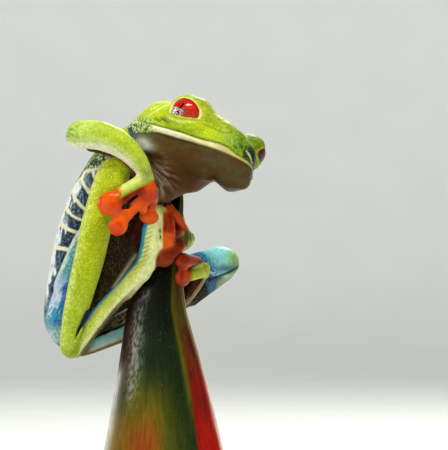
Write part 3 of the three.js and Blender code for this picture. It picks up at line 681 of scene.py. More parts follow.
def paint_trunk(name, p):
    s, _, radial, tangent = along_line(p, name)
    x, y, z = p.T
    back = unit(TRUNK_BACK - tangent * (tangent @ TRUNK_BACK)[:, None])
    across = np.cross(tangent, back)
    angle = np.degrees(np.arctan2(np.abs(np.sum(radial * across, 1)), np.sum(radial * back, 1)))
    broad, fine, tiny = noises(p, 11, 2.6, 0.8, 0.36)
    streak, pebbles, dust = noises(p, 14, (0.5, 0.5, 1.1), 0.5, 0.26)
    speck = (tiny + dust) / 2
    border = 56 + 34 * fade(25, 35, s) + 4 * fade(28, 32, s) + 3 * (broad - 0.5)
    c = Coat((120, 156, 40))
    c.over((168, 190, 84), fade(0.5, 0.75, broad) * 0.5)
    edge_zone = fade(border - 34, border - 10, angle) * fade(24, 30, s)
    c.over((32, 56, 22), edge_zone * 0.95)
    c.over((214, 218, 180), edge_zone * fade(0.54, 0.61, speck) * 0.85)
    flank = fade(border, border + 2.5, angle)
    dark = Coat((36, 50, 74))
    dark.over((110, 142, 156), fade(0.5, 0.62, speck) * (0.6 + 0.35 * fade(21, 25, s)))
    dark.over((52, 92, 112), fade(0.5, 0.7, broad) * fade(24, 27, s) * 0.6)
    haze = fade(border + 30, border + 12, angle + 26 * (streak - 0.5) + 12 * (tiny - 0.5))
    haze = haze * fade(30, 27.5, s) * fade(4, 9, s)
    dark.over((244, 250, 255), haze * 0.94)
    # pale bars, leaning more towards the shoulder
    past = s + (-0.5 + 0.17 * (s - BARS[0])) * (angle - 75) / 30 - np.array(BARS)[:, None]
    shadow = bell(past + 0.6, 0.2).max(0) * fade(120, 108, angle)
    dark.over((12, 16, 28), shadow * (1 - haze) * 0.5)
    bar = fade(0.45, 0.28, np.abs(past + 0.22 * (fine - 0.5)).min(0))
    dark.over((240, 234, 202), bar * fade(8, 12, s) * fade(120, 108, angle))
    c.over(dark, flank)
    rim = bell(angle - border - 2, 3.0) * fade(8, 14, s)
    c.over((240, 236, 196), rim * (0.95 - 0.5 * fade(30, 33, s) * fade(0.4, 0.6, fine)))
    # belly, rump and chest, the pale belly and chest painted brown as shade
    belly = fade(112, 124, angle + 8 * (fine - 0.5))
    # painted shade: the pale belly is painted dark brown
    pale = Coat((58, 38, 18))
    pale.over((112, 92, 60), fade(0.5, 0.64, pebbles) * (0.25 + 0.6 * fade(50, 46, z)))
    pale.over((255, 236, 190), bell(path_distance((x, z), ((-3.7, 56.4), (-7.3, 51.0))), 0.26) * 0.9)
    # painted light: a patch under the right arm painted lighter where the arm shades it
    pale.over((196, 112, 60), bell(np.hypot(x + 3.6, z - 70.8), 0.9) * 0.9)
    c.over(pale, belly)
    c.over((200, 212, 214), fade(6, 1.5, s) * 0.85 * (1 - belly))
    c.over((96, 150, 168), fade(7, 2, s) * fade(0.48, 0.58, speck) * 0.8 * (1 - belly))
    c.over((110, 60, 30), fade(1.2, 0.4, s) * 0.8)
    chest = fade(-4.5, -2.0, x) * fade(60, 64, z) * fade(6.5, 4.0, y) * fade(78, 100, angle)
    groove = pleats(x, y, z)
    # painted shade on the chest, painted highlights on the pleats' crests and painted shade in their grooves
    c.over(CHEST_IN_SHADE, chest)
    c.over(PLEAT_CREST_HIGHLIGHT, chest * fade(0.1, 0.75, -groove) * 0.8)
    c.over((52, 32, 16), chest * fade(0.0, 0.6, groove) * 0.8)
    c.over(PLEAT_HIGHLIGHT, chest * pleat_highlight(x, y, z) * 0.95)
    return c, 0.12, 0.6 * (1 - belly) + 0.75 * belly * (1 - chest)


def limb_paint(base, shade, edge, inside, grain=0.85):
    """Paint for a limb: its dorsal colour, a pale edge on one side and another colour on the inner side.

    The edge and the inside each have a way, a colour and how far towards the way they begin. With no way, the
    edge lies below the limb.
    """
    edge_way, edge_colour, edge_from = edge
    inner_way, inner_colour, inner_from = inside

    def paint(name, p):
        _, share, radial, tangent = along_line(p, name)
        broad, fine = noises(p, 21, 2.2, 0.6)
        c = Coat(base)
        c.over(shade, fade(0.35, 0.9, share) * 0.8)
        c.over((206, 216, 100), fade(0.55, 0.8, broad) * 0.2)
        toward = np.sum(radial * (unit(edge_way) if edge_way else upright_way(tangent)), axis=1)
        c.over(edge_colour, fade(edge_from - 0.14, edge_from + 0.1, toward + 0.12 * (fine - 0.5)))
        inner = radial @ unit(inner_way) + 0.1 * (fine - 0.5)
        mask = fade(inner_from - 0.1, inner_from + 0.1, inner)
        c.over(inner_colour, mask)
        return c, 0.15, grain * (1 - 0.6 * mask)

    return paint


paint_shank = limb_paint(
    (170, 182, 14), (156, 182, 52),
    ((0.9, 0.25, -0.3), (172, 190, 44), 0.6), ((0.1, 1, 0), (22, 36, 78), 0.35), 1.0
)
paint_forearm = limb_paint(
    (166, 188, 30), (164, 180, 66), (None, (232, 228, 196), 0.52), ((0, 1, -0.35), (150, 84, 44), 0.45)
)
# the brown inner side of the upper arm is painted shade under it
paint_upper_arm = limb_paint(
    (166, 188, 56), (178, 200, 96), ((0, 0, -1), (214, 204, 150), 0.2), ((0, 0.4, -1), (84, 58, 30), 0.45)
)
paint_arm_left = limb_paint(
    (166, 184, 50), (166, 184, 50),
    ((0, -0.3, -1), (226, 220, 170), 0.3), ((-1, -0.3, -0.2), (150, 50, 10), 0.4)
)


def paint_left_arm_on_chest(name, p):
    c, wet, grain = paint_arm_left(name, p)
    chest = fade(6.5, 4.5, p[:, 1]) * fade(61, 63, p[:, 2])
    c.over(CHEST_IN_SHADE, chest)
    return c, wet, grain * (1 - chest)


def paint_forearm_right(name, p):
    c, wet, grain = paint_forearm(name, p)
    x, z = p[:, 0], p[:, 2]
    radial, tangent = along_line(p, name)[2:]
    back = fade(-7.5, -11.5, x) * fade(74.9, 75.4, z)
    c.over((196, 220, 130), back * 0.55)
    speck = sum(noises(p, 23, 0.36, 0.26)) / 2
    c.over((104, 148, 70), fade(-11.5, -13.5, x) * back * fade(0.52, 0.6, speck) * 0.7)
    below = np.sum(radial * upright_way(tangent), axis=1)
    c.over((204, 220, 146), bell(below - 0.36, 0.16) * 0.75)
    return c, wet, grain


def paint_shank_right(name, p):
    c, wet, grain = paint_shank(name, p)
    speck = sum(noises(p, 61, 0.36, 0.26)) / 2
    # painted highlight along the shank's left edge
    rim = fade(0.35, 0.9, along_line(p, name)[2] @ unit([-0.93, -0.1, 0.3]))
    c.over((220, 226, 142), rim * (0.25 + 0.6 * fade(0.5, 0.6, speck)))
    return c, wet, grain


def paint_tarsus_right(name, p):
    _, share, radial, _ = along_line(p, name)
    x, z = p[:, 0], p[:, 2]
    broad, fine, tiny = noises(p, 25, 2.2, 0.6, 0.28)
    c = Coat((204, 216, 96))
    c.over((190, 210, 70), fade(0.35, 0.1, share) * 0.8)
    c.over((222, 228, 138), fade(0.55, 0.8, broad) * 0.4)
    pale = radial @ unit((0.85, -0.25, -0.55))
    c.over((226, 228, 172), fade(0.3, 0.62, pale + 0.14 * (fine - 0.5)) * 0.92)
    # painted light on the upper tarsus, where the chin shades it
    c.over((240, 246, 172), fade(0.55, 0.85, share) * 0.85)
    ribs = np.sin(9 * z - 4 * x + 3 * broad)
    c.over((150, 158, 60), fade(0.3, 0.9, ribs) * bell(share - 0.74, 0.14) * fade(0.4, -0.1, pale) * 0.6)
    c.over((96, 124, 44), fade(0.72, 0.8, (fine + tiny) / 2) * fade(0.5, 0.0, share) * 0.9)
    # painted shade on the underside of the heel
    under = radial @ unit((0.45, 0.35, -0.9))
    c.over((92, 80, 36), fade(0.3, 0.42, under) * fade(0.6, 0.35, share) * 0.85)
    back = radial @ unit((-0.75, 0.45, 0.55))
    blue_from = 0.4 - 0.22 * fade(0.55, 0.75, share)
    c.over((60, 166, 196), fade(blue_from, blue_from + 0.14, back + 0.08 * (fine - 0.5)))
    c.over((24, 20, 26), fade(0.74, 0.86, back))
    # painted shade in the slit between the shank and the tarsus
    c.over((14, 22, 60), bell(path_distance((x, z), SLIT_HEEL), 0.25))
    return c, 0.15, 0.7 * fade(0.6, 0.3, back)


def paint_thigh_right(name, p):
    radial, z = along_line(p, name)[2], p[:, 2]
    broad, fine, tiny, dust = noises(p, 31, 1.8, 0.7, 0.36, 0.26)
    speck = (tiny + dust) / 2
    streak = noise(p @ np.array([[1, 0, -0.6], [0, 1, 0], [0.3, 0, 1]]).T, (0.4, 0.6, 2.6), 35)
    way = radial @ unit([-0.93, -0.1, 0.32])
    c = Coat((40, 100, 170))
    c.over((26, 70, 136), fade(0.5, 0.72, broad) * 0.6)
    c.over((92, 138, 178), fade(0.56, 0.74, streak) * 0.6)
    upper = fade(50.5, 54.5, z)
    c.over((76, 142, 150), fade(0.5, 0.68, way + 0.12 * (fine - 0.5)) * upper)
    c.over((158, 190, 184), fade(0.42, 0.6, way) * upper * fade(0.55, 0.66, speck) * 0.7)
    # painted highlight along the thigh's left edge
    c.over((216, 224, 196), fade(0.86, 0.96, way + 0.08 * (tiny - 0.5)) * upper * 0.85)
    streaked = fade(0.6, 0.86, way + 0.5 * (streak - 0.5))
    c.over((202, 212, 228), streaked * (1 - upper) * fade(44.5, 47, z) * 0.95)
    c.over((44, 150, 172), bell(z - 46.4, 1.5) * fade(0.4, 0.54, speck) * 0.85)
    rump = fade(45.8, 43.6, z + 1.2 * (fine - 0.5))
    c.over((198, 212, 208), rump * 0.9)
    c.over((92, 150, 150), rump * fade(0.52, 0.62, speck) * fade(42.0, 43.2, z) * 0.8)
    c.over((120, 112, 96), rump * fade(0.55, 0.64, speck) * fade(43.6, 42.2, z) * 0.7)
    c.over((112, 60, 28), fade(41.0, 40.0, z) * 0.8)
    # painted shade on the inner side of the thigh
    inner = fade(0.2, 0.5, radial @ unit([1, 0.1, -0.2]))
    c.over((44, 24, 12), inner)
    c.over((30, 60, 110), inner * fade(49, 46.5, z) * 0.9)
    return c, 0.2, 0.7 * (1 - inner)


KNEE_FOLD = [(8.6, 52.1), (12.15, 53.46), (13.65, 54.4)]  # where the left thigh and shank meet


def paint_leg_left(name, p):
    radial, x, z = along_line(p, name)[2], p[:, 0], p[:, 2]
    broad, fine, tiny, dust = noises(p, 41, 1.8, 0.7, 0.34, 0.26)
    grain = 0.8
    if name == "thigh_left":
        c = Coat((146, 228, 238))
        c.over((34, 116, 184), fade(9.4, 7.2, x + 0.6 * (z - 56)))
        c.over((146, 222, 204), fade(10.4, 11.8, x))
        c.over((138, 172, 108), fade(11.4, 13.0, x))
        # painted glints on the thigh's granules
        speck = fade(0.55, 0.64, (tiny + dust) / 2)
        c.over((216, 232, 236), speck * (0.35 + 0.6 * fade(55.5, 53.5, z)) * fade(12.5, 11, x))
        c.over((30, 74, 116), bell(np.hypot((x - 11.4) / 1.2, (z - 54.1) / 0.4), 1.0) * 0.6)
        # painted shade in the crease of the knee
        c.over((22, 30, 38), bell(path_distance((x, z), KNEE_FOLD), 0.14) * 0.95)
        c.over((164, 186, 56), fade(0.6, 0.85, radial @ unit([0.2, 0.75, 0.75])))
        c.over((64, 48, 26), fade(-1.5, -4.5, x) * fade(0.3, -0.2, radial[:, 1]))
    elif name == "shank_left":
        c = Coat((70, 112, 150))
        pale = fade(0.3, 0.62, radial @ unit([0.45, -0.1, -0.88]))
        c.over((158, 178, 140), pale * fade(9.4, 10.6, x))
        c.over((150, 176, 150), fade(11.4, 12.6, x))
        c.over((96, 112, 68), fade(12.4, 14.0, x) * 0.6)
        # painted shade in the crease of the knee
        c.over((22, 30, 38), bell(path_distance((x, z), KNEE_FOLD), 0.14) * 0.95)
        # painted shade: the middle of the shank near-black
        c.over((20, 18, 16), fade(9.1, 7.9, x + 0.35 * (z - 50)))
        c.over((146, 174, 54), fade(0.25, 0.55, radial @ unit([0, 1, 0.25])))
        low = fade(-1, -4, x) * fade(0.5, 0.0, radial[:, 1])
        c.over((240, 214, 170), low)
        granules = sum(noises(p, 45, 0.5, 0.36)) / 2
        c.over((56, 44, 28), low * fade(0.56, 0.63, granules))
        c.over((236, 222, 190), low * fade(0.5, 0.42, granules) * 0.6)
        low = low * fade(44.6, 44.0, z - 0.35 * (x + 7.5))
        c.over((128, 178, 170), low)
        lower = radial @ unit([0.3, 0, -1])
        c.over((206, 214, 196), low * fade(0.0, 0.4, lower + 0.2 * (fine - 0.5)) * 0.8)
        c.over((122, 96, 52), low * fade(0.55, 0.85, lower))
        c.over((40, 38, 22), low * fade(0.88, 0.98, radial @ unit([0.35, 0.1, -0.95])) * 0.7)
    else:
        # painted shade: the tarsus's orange is painted dark maroon
        c = Coat((58, 24, 10))
        c.over((92, 38, 16), fade(0.5, 0.8, broad) * 0.5)
        c.over((142, 128, 84), fade(0.66, 0.84, radial @ unit([0.75, -0.3, -0.65])) * fade(-2, 2, x))
        c.over((160, 180, 60), fade(0.3, 0.6, radial @ unit([0, 1, 0.2])))
        low = fade(-2, -4.5, x) * fade(0.6, 0.1, radial[:, 1])
        lower = radial @ unit([0.35, 0.0, -1])
        c.over((34, 26, 14), low)
        c.over((156, 212, 204), low * fade(-0.86, -0.7, lower + 0.2 * (fine - 0.5)) * fade(-13, -10, x))
        c.over((206, 206, 178), low * fade(0.1, 0.45, lower + 0.2 * (fine - 0.5)) * fade(-13, -10, x) * 0.9)
        c.over((128, 106, 58), low * fade(0.55, 0.8, lower))
        c.over((116, 98, 54), fade(-10.5, -12.5, x) * 0.8)
        grain = 0.32 * fade(-6, -2, x)
    return c, 0.22, grain


def paint_hand(name, p):
    x, y, z = p.T
    broad, fine = noises(p, 51, 1.6, (0.5, 0.5, 0.9))
    c = Coat((216, 82, 2))
    c.over((186, 40, 2), fade(0.4, 0.75, broad) * 0.55)
    c.over((232, 110, 8), fade(0.62, 0.85, fine) * 0.3)
    grain = 0
    if name == "hand_right":
        # painted shade in the palm and in the web between the fingers
        c.over((112, 14, 3), bell(np.hypot(x + 2.9, (z - 66.9) * 1.3), 1.4) * fade(0.15, 0.45, broad) * 0.9)
        c.over((84, 18, 4), bell(np.hypot(x + 4.7, z - 65.8), 0.8) * 0.8)
        c.over((150, 34, 3), fade(-13.0, -11.6, y) * 0.5)
        # painted light: a disc painted brighter orange to lift its shade
        c.over((236, 92, 2), bell(np.hypot(x + 1.2, z - 62.8), 1.3) * 0.9)
        line = 65.65 + (x + 5.9) * 0.548
        strip = fade(line - 0.2, line + 0.3, z) * fade(-6.1, -5.1, x + 0.7 * (fine - 0.5))
        c.over((172, 184, 62), strip)
        c.over((212, 216, 140), strip * bell(z - line - 1.6, 0.5) * 0.7)
        c.over((116, 128, 44), bell(z - line - 0.1, 0.2) * strip * 0.8)
        # painted shade in the slit between two fingers
        c.over((30, 10, 4), bell(path_distance((x, z), SLIT_FINGERS), 0.16))
        wet = 1 - 0.7 * strip
        grain = 0.5 * strip
    elif name == "hand_left":
        c.over((158, 44, 6), 0.35 + 0.5 * fade(0.3, 0.6, broad))
        c.over((216, 72, 6), fade(60.4, 61.8, z) * 0.8)
        # painted shade in the gap between the fingers
        c.over((58, 6, 2), bell(np.hypot((x - 3.2) / 1.2, (z - 59.2) / 0.9), 0.8) * 0.95)
        c.over((104, 34, 4), fade(58.2, 56.8, z) * 0.75)
        wrist = fade(4.1, 4.7, x + 0.25 * (z - 59)) * fade(60.9, 60.2, z)
        c.over((124, 142, 56), wrist)
        c.over((176, 180, 70), wrist * fade(0.55, 0.65, fine) * 0.8)
        c.over((78, 58, 14), wrist * fade(0.5, 0.62, 1 - fine) * 0.8)
        wet = 1 - 0.6 * wrist
    elif name == "foot_right":
        # painted shade: the inner toes painted dark maroon
        c.over((62, 16, 8), fade(-0.8, -1.8, x))
        top = fade(62.8, 63.8, z - 0.5 * np.abs(x - 0.6)) * fade(2.0, 1.5, x)
        c.over((200, 206, 110), top)
        toe = fade(-0.6, 0.2, x) * fade(1.25, 0.95, x)
        c.over((214, 214, 164), toe * (1 - top))
        c.over((110, 20, 6), fade(1.0, 1.3, x) * fade(0.45, 0.75, broad) * (1 - top) * 0.5)
        wet = 0.35 + 0.5 * fade(1.0, 1.4, x) - 0.25 * top
        grain = 0.4 * top
    else:
        c.over((146, 40, 2), 0.35 + 0.6 * fade(0.25, 0.6, broad))
        bound = z - 53.9 - 0.586 * (x - 4.95)
        stalk = fade(5.4, 6.2, x) * fade(0.12, -0.12, bound)
        c.over((188, 202, 60), stalk)
        c.over((186, 182, 84), stalk * fade(0.55, 0.75, fine) * 0.7)
        c.over((40, 20, 8), bell(bound, 0.14) * fade(4.6, 5.4, x) * 0.8)
        wet = 1 - 0.75 * stalk
    return c, wet, grain


PAINTERS = {
    "head": paint_head, "lower_jaw": paint_head, "trunk": paint_trunk,
    "upper_arm_right": paint_upper_arm, "forearm_right": paint_forearm_right,
    "upper_arm_left": paint_left_arm_on_chest, "forearm_left": paint_left_arm_on_chest,
    "thigh_right": paint_thigh_right, "shank_right": paint_shank_right, "tarsus_right": paint_tarsus_right,
    "thigh_left": paint_leg_left, "shank_left": paint_leg_left, "tarsus_left": paint_leg_left,
    "hand_right": paint_hand, "hand_left": paint_hand, "foot_right": paint_hand, "foot_left": paint_hand,
}


def paint_node(name, p):
    c, wet, grain = PAINTERS[name](name, p)
    x, y, z = p.T
    if name in ("hand_right", "forearm_right"):
        c.over((112, 122, 58), bell(np.hypot((x + 1.4) / 0.8, (z - 69.6) / 0.9), 0.8) * 0.75)
    if name in ("foot_right", "tarsus_right", "hand_left"):
        # above the ankle and the fingers lies the skin of the chest, painted brown as shade, with painted
        # highlights on its pleats and painted shade in their grooves and along its lower edge
        chest = fade(64.75, 64.95, z)
        groove = pleats(x, y, z)
        c.over(CHEST_IN_SHADE, chest)
        c.over(PLEAT_CREST_HIGHLIGHT, chest * fade(0.1, 0.75, -groove) * 0.8)
        c.over(PLEAT_HIGHLIGHT, chest * pleat_highlight(x, y, z) * 0.95)
        c.over((40, 24, 12), chest * np.maximum(fade(0.0, 0.6, groove) * 0.8, bell(z - 64.9, 0.2)))
        wet, grain = wet + (0.12 - wet) * chest, grain * (1 - chest)
    return c, wet, grain


# Each point takes the paint of the node that it is nearest to, with a narrow blend between nodes.
distances = np.array([fields[name].at(points) for name in FLESH])
weights = np.exp(-(distances - distances.min(0)) / 0.12)
weights[weights < 0.02] = 0
weights /= weights.sum(0)
skin_rgb, skin_wet, skin_grain = np.zeros((len(points), 3)), np.zeros(len(points)), np.zeros(len(points))
for name, weight in zip(FLESH, weights):
    chosen = np.nonzero(weight)[0]
    if len(chosen):
        c, wet, grain = paint_node(name, points[chosen])
        skin_rgb[chosen] += c.rgb * weight[chosen, None]
        skin_wet[chosen] += wet * weight[chosen]
        skin_grain[chosen] += grain * weight[chosen]


def set_paint(obj, rgb, **values):
    """Point attributes for a mesh: its colour, from sRGB to linear light, and single values by name."""
    rgb = np.clip(rgb / 255, 0, 1)
    light = np.where(rgb <= 0.04045, rgb / 12.92, ((rgb + 0.055) / 1.055) ** 2.4)
    layer = obj.data.attributes.new("paint", "FLOAT_COLOR", "POINT")
    layer.data.foreach_set("color", np.hstack([light, np.ones((len(light), 1))]).astype(np.float32).ravel())
    for name, value in values.items():
        layer = obj.data.attributes.new(name, "FLOAT", "POINT")
        layer.data.foreach_set("value", np.asarray(value, np.float32))


set_paint(skin, skin_rgb, wet=skin_wet, grain=skin_grain)
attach(skin, "root")
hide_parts(*FLESH)


# ------------------------------------------------------------------ materials
class Nodes:
    """Builds a node material. Each method that adds a node gives back its output."""

    def __init__(self, name):
        self.material = bpy.data.materials.new(name)
        self.material.use_nodes = True
        self.tree = self.material.node_tree
        self.surface = self.tree.nodes["Principled BSDF"]
        self.place = self.add("ShaderNodeTexCoord").outputs["Object"]

    def feed(self, socket, value):
        """Links an output to a socket, or sets the socket to a constant."""
        if isinstance(value, bpy.types.NodeSocket):
            self.tree.links.new(value, socket)
        else:
            socket.default_value = value

    def add(self, kind, inputs=None, **settings):
        """Adds a node and gives back the node itself."""
        node = self.tree.nodes.new(kind)
        for key, value in settings.items():
            setattr(node, key, value)
        for key, value in (inputs or {}).items():
            self.feed(node.inputs[key], value)
        return node

    def attribute(self, name, output="Fac"):
        return self.add("ShaderNodeAttribute", attribute_name=name).outputs[output]

    def noise(self, scale, detail, vector=None, roughness=0.5, output="Fac"):
        inputs = {"Scale": scale, "Detail": detail, "Roughness": roughness}
        inputs["Vector"] = self.place if vector is None else vector
        return self.add("ShaderNodeTexNoise", inputs).outputs[output]

    def stretched(self, scale):
        return self.add("ShaderNodeMapping", {"Vector": self.place, "Scale": scale}).outputs["Vector"]

    def math(self, operation, a, b=0.0, c=0.0):
        return self.add("ShaderNodeMath", {0: a, 1: b, 2: c}, operation=operation).outputs[0]

    def times(self, a, *more):
        for b in more:
            a = self.math("MULTIPLY", a, b)
        return a

    def mix(self, factor, a, b, blend="MIX", kind="RGBA"):
        node = self.add("ShaderNodeMix", {"Factor": factor}, data_type=kind, blend_type=blend)
        ends = [s for s in node.inputs if s.type == kind and s.name in ("A", "B")]
        for socket, value in zip(ends, (a, b)):
            self.feed(socket, value)
        return [s for s in node.outputs if s.type == kind][0]

    def ramp(self, factor, start, first, end, last):
        """From the first colour to the last while the factor goes from start to end; a number is a grey."""
        node = self.add("ShaderNodeValToRGB", {"Fac": factor})
        for stop, position, value in zip(node.color_ramp.elements, (start, end), (first, last)):
            stop.position = position
            stop.color = value if isinstance(value, tuple) else (value, value, value, 1)
        return node.outputs["Color"]

    def bump(self, strength, distance, height):
        inputs = {"Strength": strength, "Distance": distance, "Height": height}
        return self.add("ShaderNodeBump", inputs).outputs["Normal"]

    def put(self, **values):
        """Sets sockets of the surface; underscores stand for spaces."""
        for key, value in values.items():
            self.feed(self.surface.inputs[key.replace("_", " ")], value)


def skin_material():
    m = Nodes("frog_skin")
    paint, wet, grain = m.attribute("paint", "Color"), m.attribute("wet"), m.attribute("grain")
    mottle = m.noise(900.0, 3.0, roughness=0.6)
    inputs = {"Vector": m.place, "Scale": 2700.0, "Smoothness": 0.5}
    granule = m.add("ShaderNodeTexVoronoi", inputs, feature="SMOOTH_F1").outputs["Distance"]
    cells = m.add("ShaderNodeTexVoronoi", {"Vector": m.place, "Scale": 4200.0}).outputs
    pores = m.noise(5200.0, 2.0)
    tinted = m.mix(1.0, paint, m.ramp(mottle, 0.3, 0.84, 0.72, 1.1), "MULTIPLY")
    # painted glints on some of the granules, and painted shade in the gaps between them
    granule_glints = m.times(m.ramp(cells["Distance"], 0.12, 1.0, 0.5, 0.0), grain)
    number = m.add("ShaderNodeSeparateColor", {"Color": cells["Color"]}).outputs[0]
    chosen = m.ramp(number, 0.45, 0.0, 0.8, 1.0)
    lit = m.mix(m.times(granule_glints, chosen, 0.75), tinted, (0.34, 0.36, 0.08, 1), "ADD")
    valley = m.times(m.ramp(cells["Distance"], 0.4, 0.0, 0.75, 1.0), grain, 0.4)
    deep = m.mix(valley, lit, (0.5, 0.58, 0.3, 1), "MULTIPLY")
    height = m.times(m.math("SUBTRACT", 1.0, granule), grain)
    height = m.math("ADD", height, m.times(pores, 0.12))
    rough = m.math("SUBTRACT", m.math("MULTIPLY_ADD", mottle, 0.16, 0.4), m.times(wet, 0.33))
    m.put(Base_Color=deep, Roughness=rough, Normal=m.bump(0.6, 0.00012, height), IOR=1.38)
    m.put(Specular_IOR_Level=0.13, Coat_Weight=m.times(wet, wet, 0.22), Coat_Roughness=0.09)
    m.put(Subsurface_Weight=0.06, Subsurface_Radius=(1.0, 0.5, 0.25), Subsurface_Scale=0.0005)
    return m.material


def eye_material():
    m = Nodes("frog_eye")
    paint, veil = m.attribute("paint", "Color"), m.attribute("veil")
    bent = m.mix(0.0006, m.place, m.noise(1800.0, 2.0, output="Color"), kind="VECTOR")
    net = m.add("ShaderNodeTexVoronoi", {"Vector": bent, "Scale": 1900.0}, feature="DISTANCE_TO_EDGE")
    thread = m.times(m.ramp(net.outputs["Distance"], 0.05, 1.0, 0.14, 0.0), veil)
    iris = m.mix(1.0, paint, m.ramp(m.noise(3000.0, 3.0), 0.3, 0.8, 0.7, 1.15), "MULTIPLY")
    m.put(Base_Color=m.mix(thread, iris, (0.86, 0.74, 0.62, 1)), Roughness=0.35, IOR=1.38)
    m.put(Coat_Weight=0.7, Coat_Roughness=0.03, Coat_IOR=1.42)
    m.put(Specular_IOR_Level=0.04, Normal=m.bump(0.25, 0.00005, thread))
    return m.material


def bract_material():
    m = Nodes("bract")
    fibre = m.noise(2600.0, 4.0, m.stretched((1.0, 1.0, 0.05)))
    speck = m.noise(3800.0, 2.0)
    striped = m.mix(1.0, m.attribute("paint", "Color"), m.ramp(fibre, 0.3, 0.72, 0.7, 1.25), "MULTIPLY")
    spotted = m.mix(m.ramp(speck, 0.66, 0.0, 0.74, 0.2), striped, (0.3, 0.32, 0.24, 1))
    height = m.math("ADD", fibre, m.times(speck, 0.4))
    m.put(Base_Color=spotted, Roughness=m.math("MULTIPLY_ADD", speck, 0.3, 0.25))
    m.put(Normal=m.bump(0.35, 0.00012, height), IOR=1.4, Specular_IOR_Level=0.12)
    return m.material


def lacquer_material():
    m = Nodes("stand_lacquer")
    grainy, cloud = m.noise(1400.0, 4.0), m.noise(60.0, 3.0)
    m.put(Base_Color=m.ramp(cloud, 0.3, (0.018, 0.018, 0.02, 1), 0.7, (0.03, 0.03, 0.032, 1)))
    m.put(Roughness=m.math("MULTIPLY_ADD", grainy, 0.25, 0.32), Normal=m.bump(0.2, 0.00008, grainy))
    return m.material


def steel_material():
    m = Nodes("stand_steel")
    brushed = m.noise(1500.0, 3.0, m.stretched((0.3, 0.3, 6.0)))
    m.put(Metallic=1.0, Base_Color=m.ramp(brushed, 0.3, 0.42, 0.7, 0.62))
    m.put(Roughness=m.math("MULTIPLY_ADD", brushed, 0.2, 0.22), Normal=m.bump(0.15, 0.00005, brushed))
    return m.material


skin.data.materials.append(skin_material())


# ------------------------------------------------------------------ eyes
eye_look = eye_material()
rings, turns = 109, 160
polar = math.pi * np.arange(1, rings + 1) / (rings + 1)
turn = np.linspace(0, 2 * math.pi, turns, endpoint=False)
ring, spin = (v.ravel() for v in np.meshgrid(polar, turn, indexing="ij"))
sphere = np.stack([np.sin(ring) * np.cos(spin), np.sin(ring) * np.sin(spin), np.cos(ring)], -1)
sphere = np.vstack([sphere, [(0, 0, 1), (0, 0, -1)]])
ax, ri, ou = sphere.T  # on the eye axes
# The cornea stands a little proud of the ball.
ball = sphere * EYEBALL * (1 - 0.035 * fade(0.75, 0.2, ou))[:, None]
flat = noise(ball, 0.45, 61)
for side, name in ((-1, "right"), (1, "left")):
    f, o, u = (ball @ EYE_AXES[side] + EYE_PLACE[side]).T[:, :, None]
    way = -1 if np.linalg.det(EYE_AXES[side]) * side > 0 else 1
    eye = mesh_object("frog_eye_" + name, head_point(f, side * o, u), tube_faces(rings, turns)[:, ::way])
    c = Coat((184, 4, 0))
    c.over((226, 62, 2), bell(np.hypot(ax - 0.38, ri - 0.31), 0.32) * (0.6 + 0.6 * (flat - 0.5)))
    # the two poles have no direction towards the edge, and so no number; they take a place well inside it
    rim = np.nan_to_num(opening_edge(ax * EYEBALL, ri * EYEBALL, ou * EYEBALL, side), nan=-1.0)
    c.over((112, 8, 4), fade(-0.35, -0.02, rim) * 0.75)
    pupil = np.hypot((ax - PUPIL[0] - 0.1 * (ri - PUPIL[1])) / 0.085, (ri - PUPIL[1]) / 0.27)
    c.over((200, 120, 40), fade(1.6, 1.1, pupil) * 0.5)
    c.over((6, 3, 3), fade(1.15, 0.85, pupil))
    # the lower lid: its upper line, then its ground, its edge and where its net shows
    line = np.interp(ax, [-0.82, -0.07, 0.93], [0.01, -0.04, 0.3]) + 0.06 * (flat - 0.5)
    veil = fade(line + 0.02, line - 0.03, ri)
    c.over((70, 10, 8), veil * 0.9)
    c.over((190, 36, 2), veil * fade(-0.05, 0.4, ax) * 0.9)
    c.over((46, 8, 8), bell(ri - line + 0.02, 0.025) * fade(0.7, 0.3, ax) * 0.7)
    # painted shade on the left eye's iris
    if side > 0:
        c.over((40, 9, 7), fade(-0.4, -0.1, ax) * (0.8 + 0.3 * (flat - 0.5)))
    net = veil * (1 - 0.95 * fade(-0.1, 0.35, ax)) * (0.7 + 0.6 * fade(-0.2, -0.7, ax))
    set_paint(eye, c.rgb, veil=net)
    eye.data.materials.append(eye_look)
    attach(eye, "root")
    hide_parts("eye_" + name)

# ------------------------------------------------------------------ bract
# Stations: x, y, z, half width. The section's keel has one crisp edge towards the front right.
BRACT = np.array([
    (1.1, 0, 20, 10.9), (1.1, 0, 24, 10.05), (0.7, 0, 36.5, 7.4), (0.1, 0.1, 44.5, 5.6), (0, 0.3, 48.5, 4.7),
    (1, 0.7, 55.5, 3.1), (2.3, 1.4, 61.5, 2), (3.1, 2.2, 65.2, 1.3), (3.6, 2.7, 67, 0.7),
])
SECTION = np.array([
    (0.56, -0.6), (0.82, -0.25), (1, 0.08), (0.72, 0.4), (0.2, 0.54), (-0.4, 0.52),
    (-0.84, 0.34), (-1, 0.1), (-0.82, -0.3), (-0.45, -0.55), (0, -0.64), (0.56, -0.6),
])


def spline(stations, t):
    """Catmull-Rom through rows of stations; t runs over their indices."""
    last = len(stations) - 1
    i = np.clip(np.floor(t).astype(int), 0, last - 1)
    s = (t - i)[:, None]
    padded = np.vstack([2 * stations[0] - stations[1], stations, 2 * stations[-1] - stations[-2]])
    a, b, c, d = (padded[i + k] for k in range(4))
    return 0.5 * (2 * b + (c - a) * s + (2 * a - 5 * b + 4 * c - d) * s**2 + (3 * b - a - 3 * c + d) * s**3)


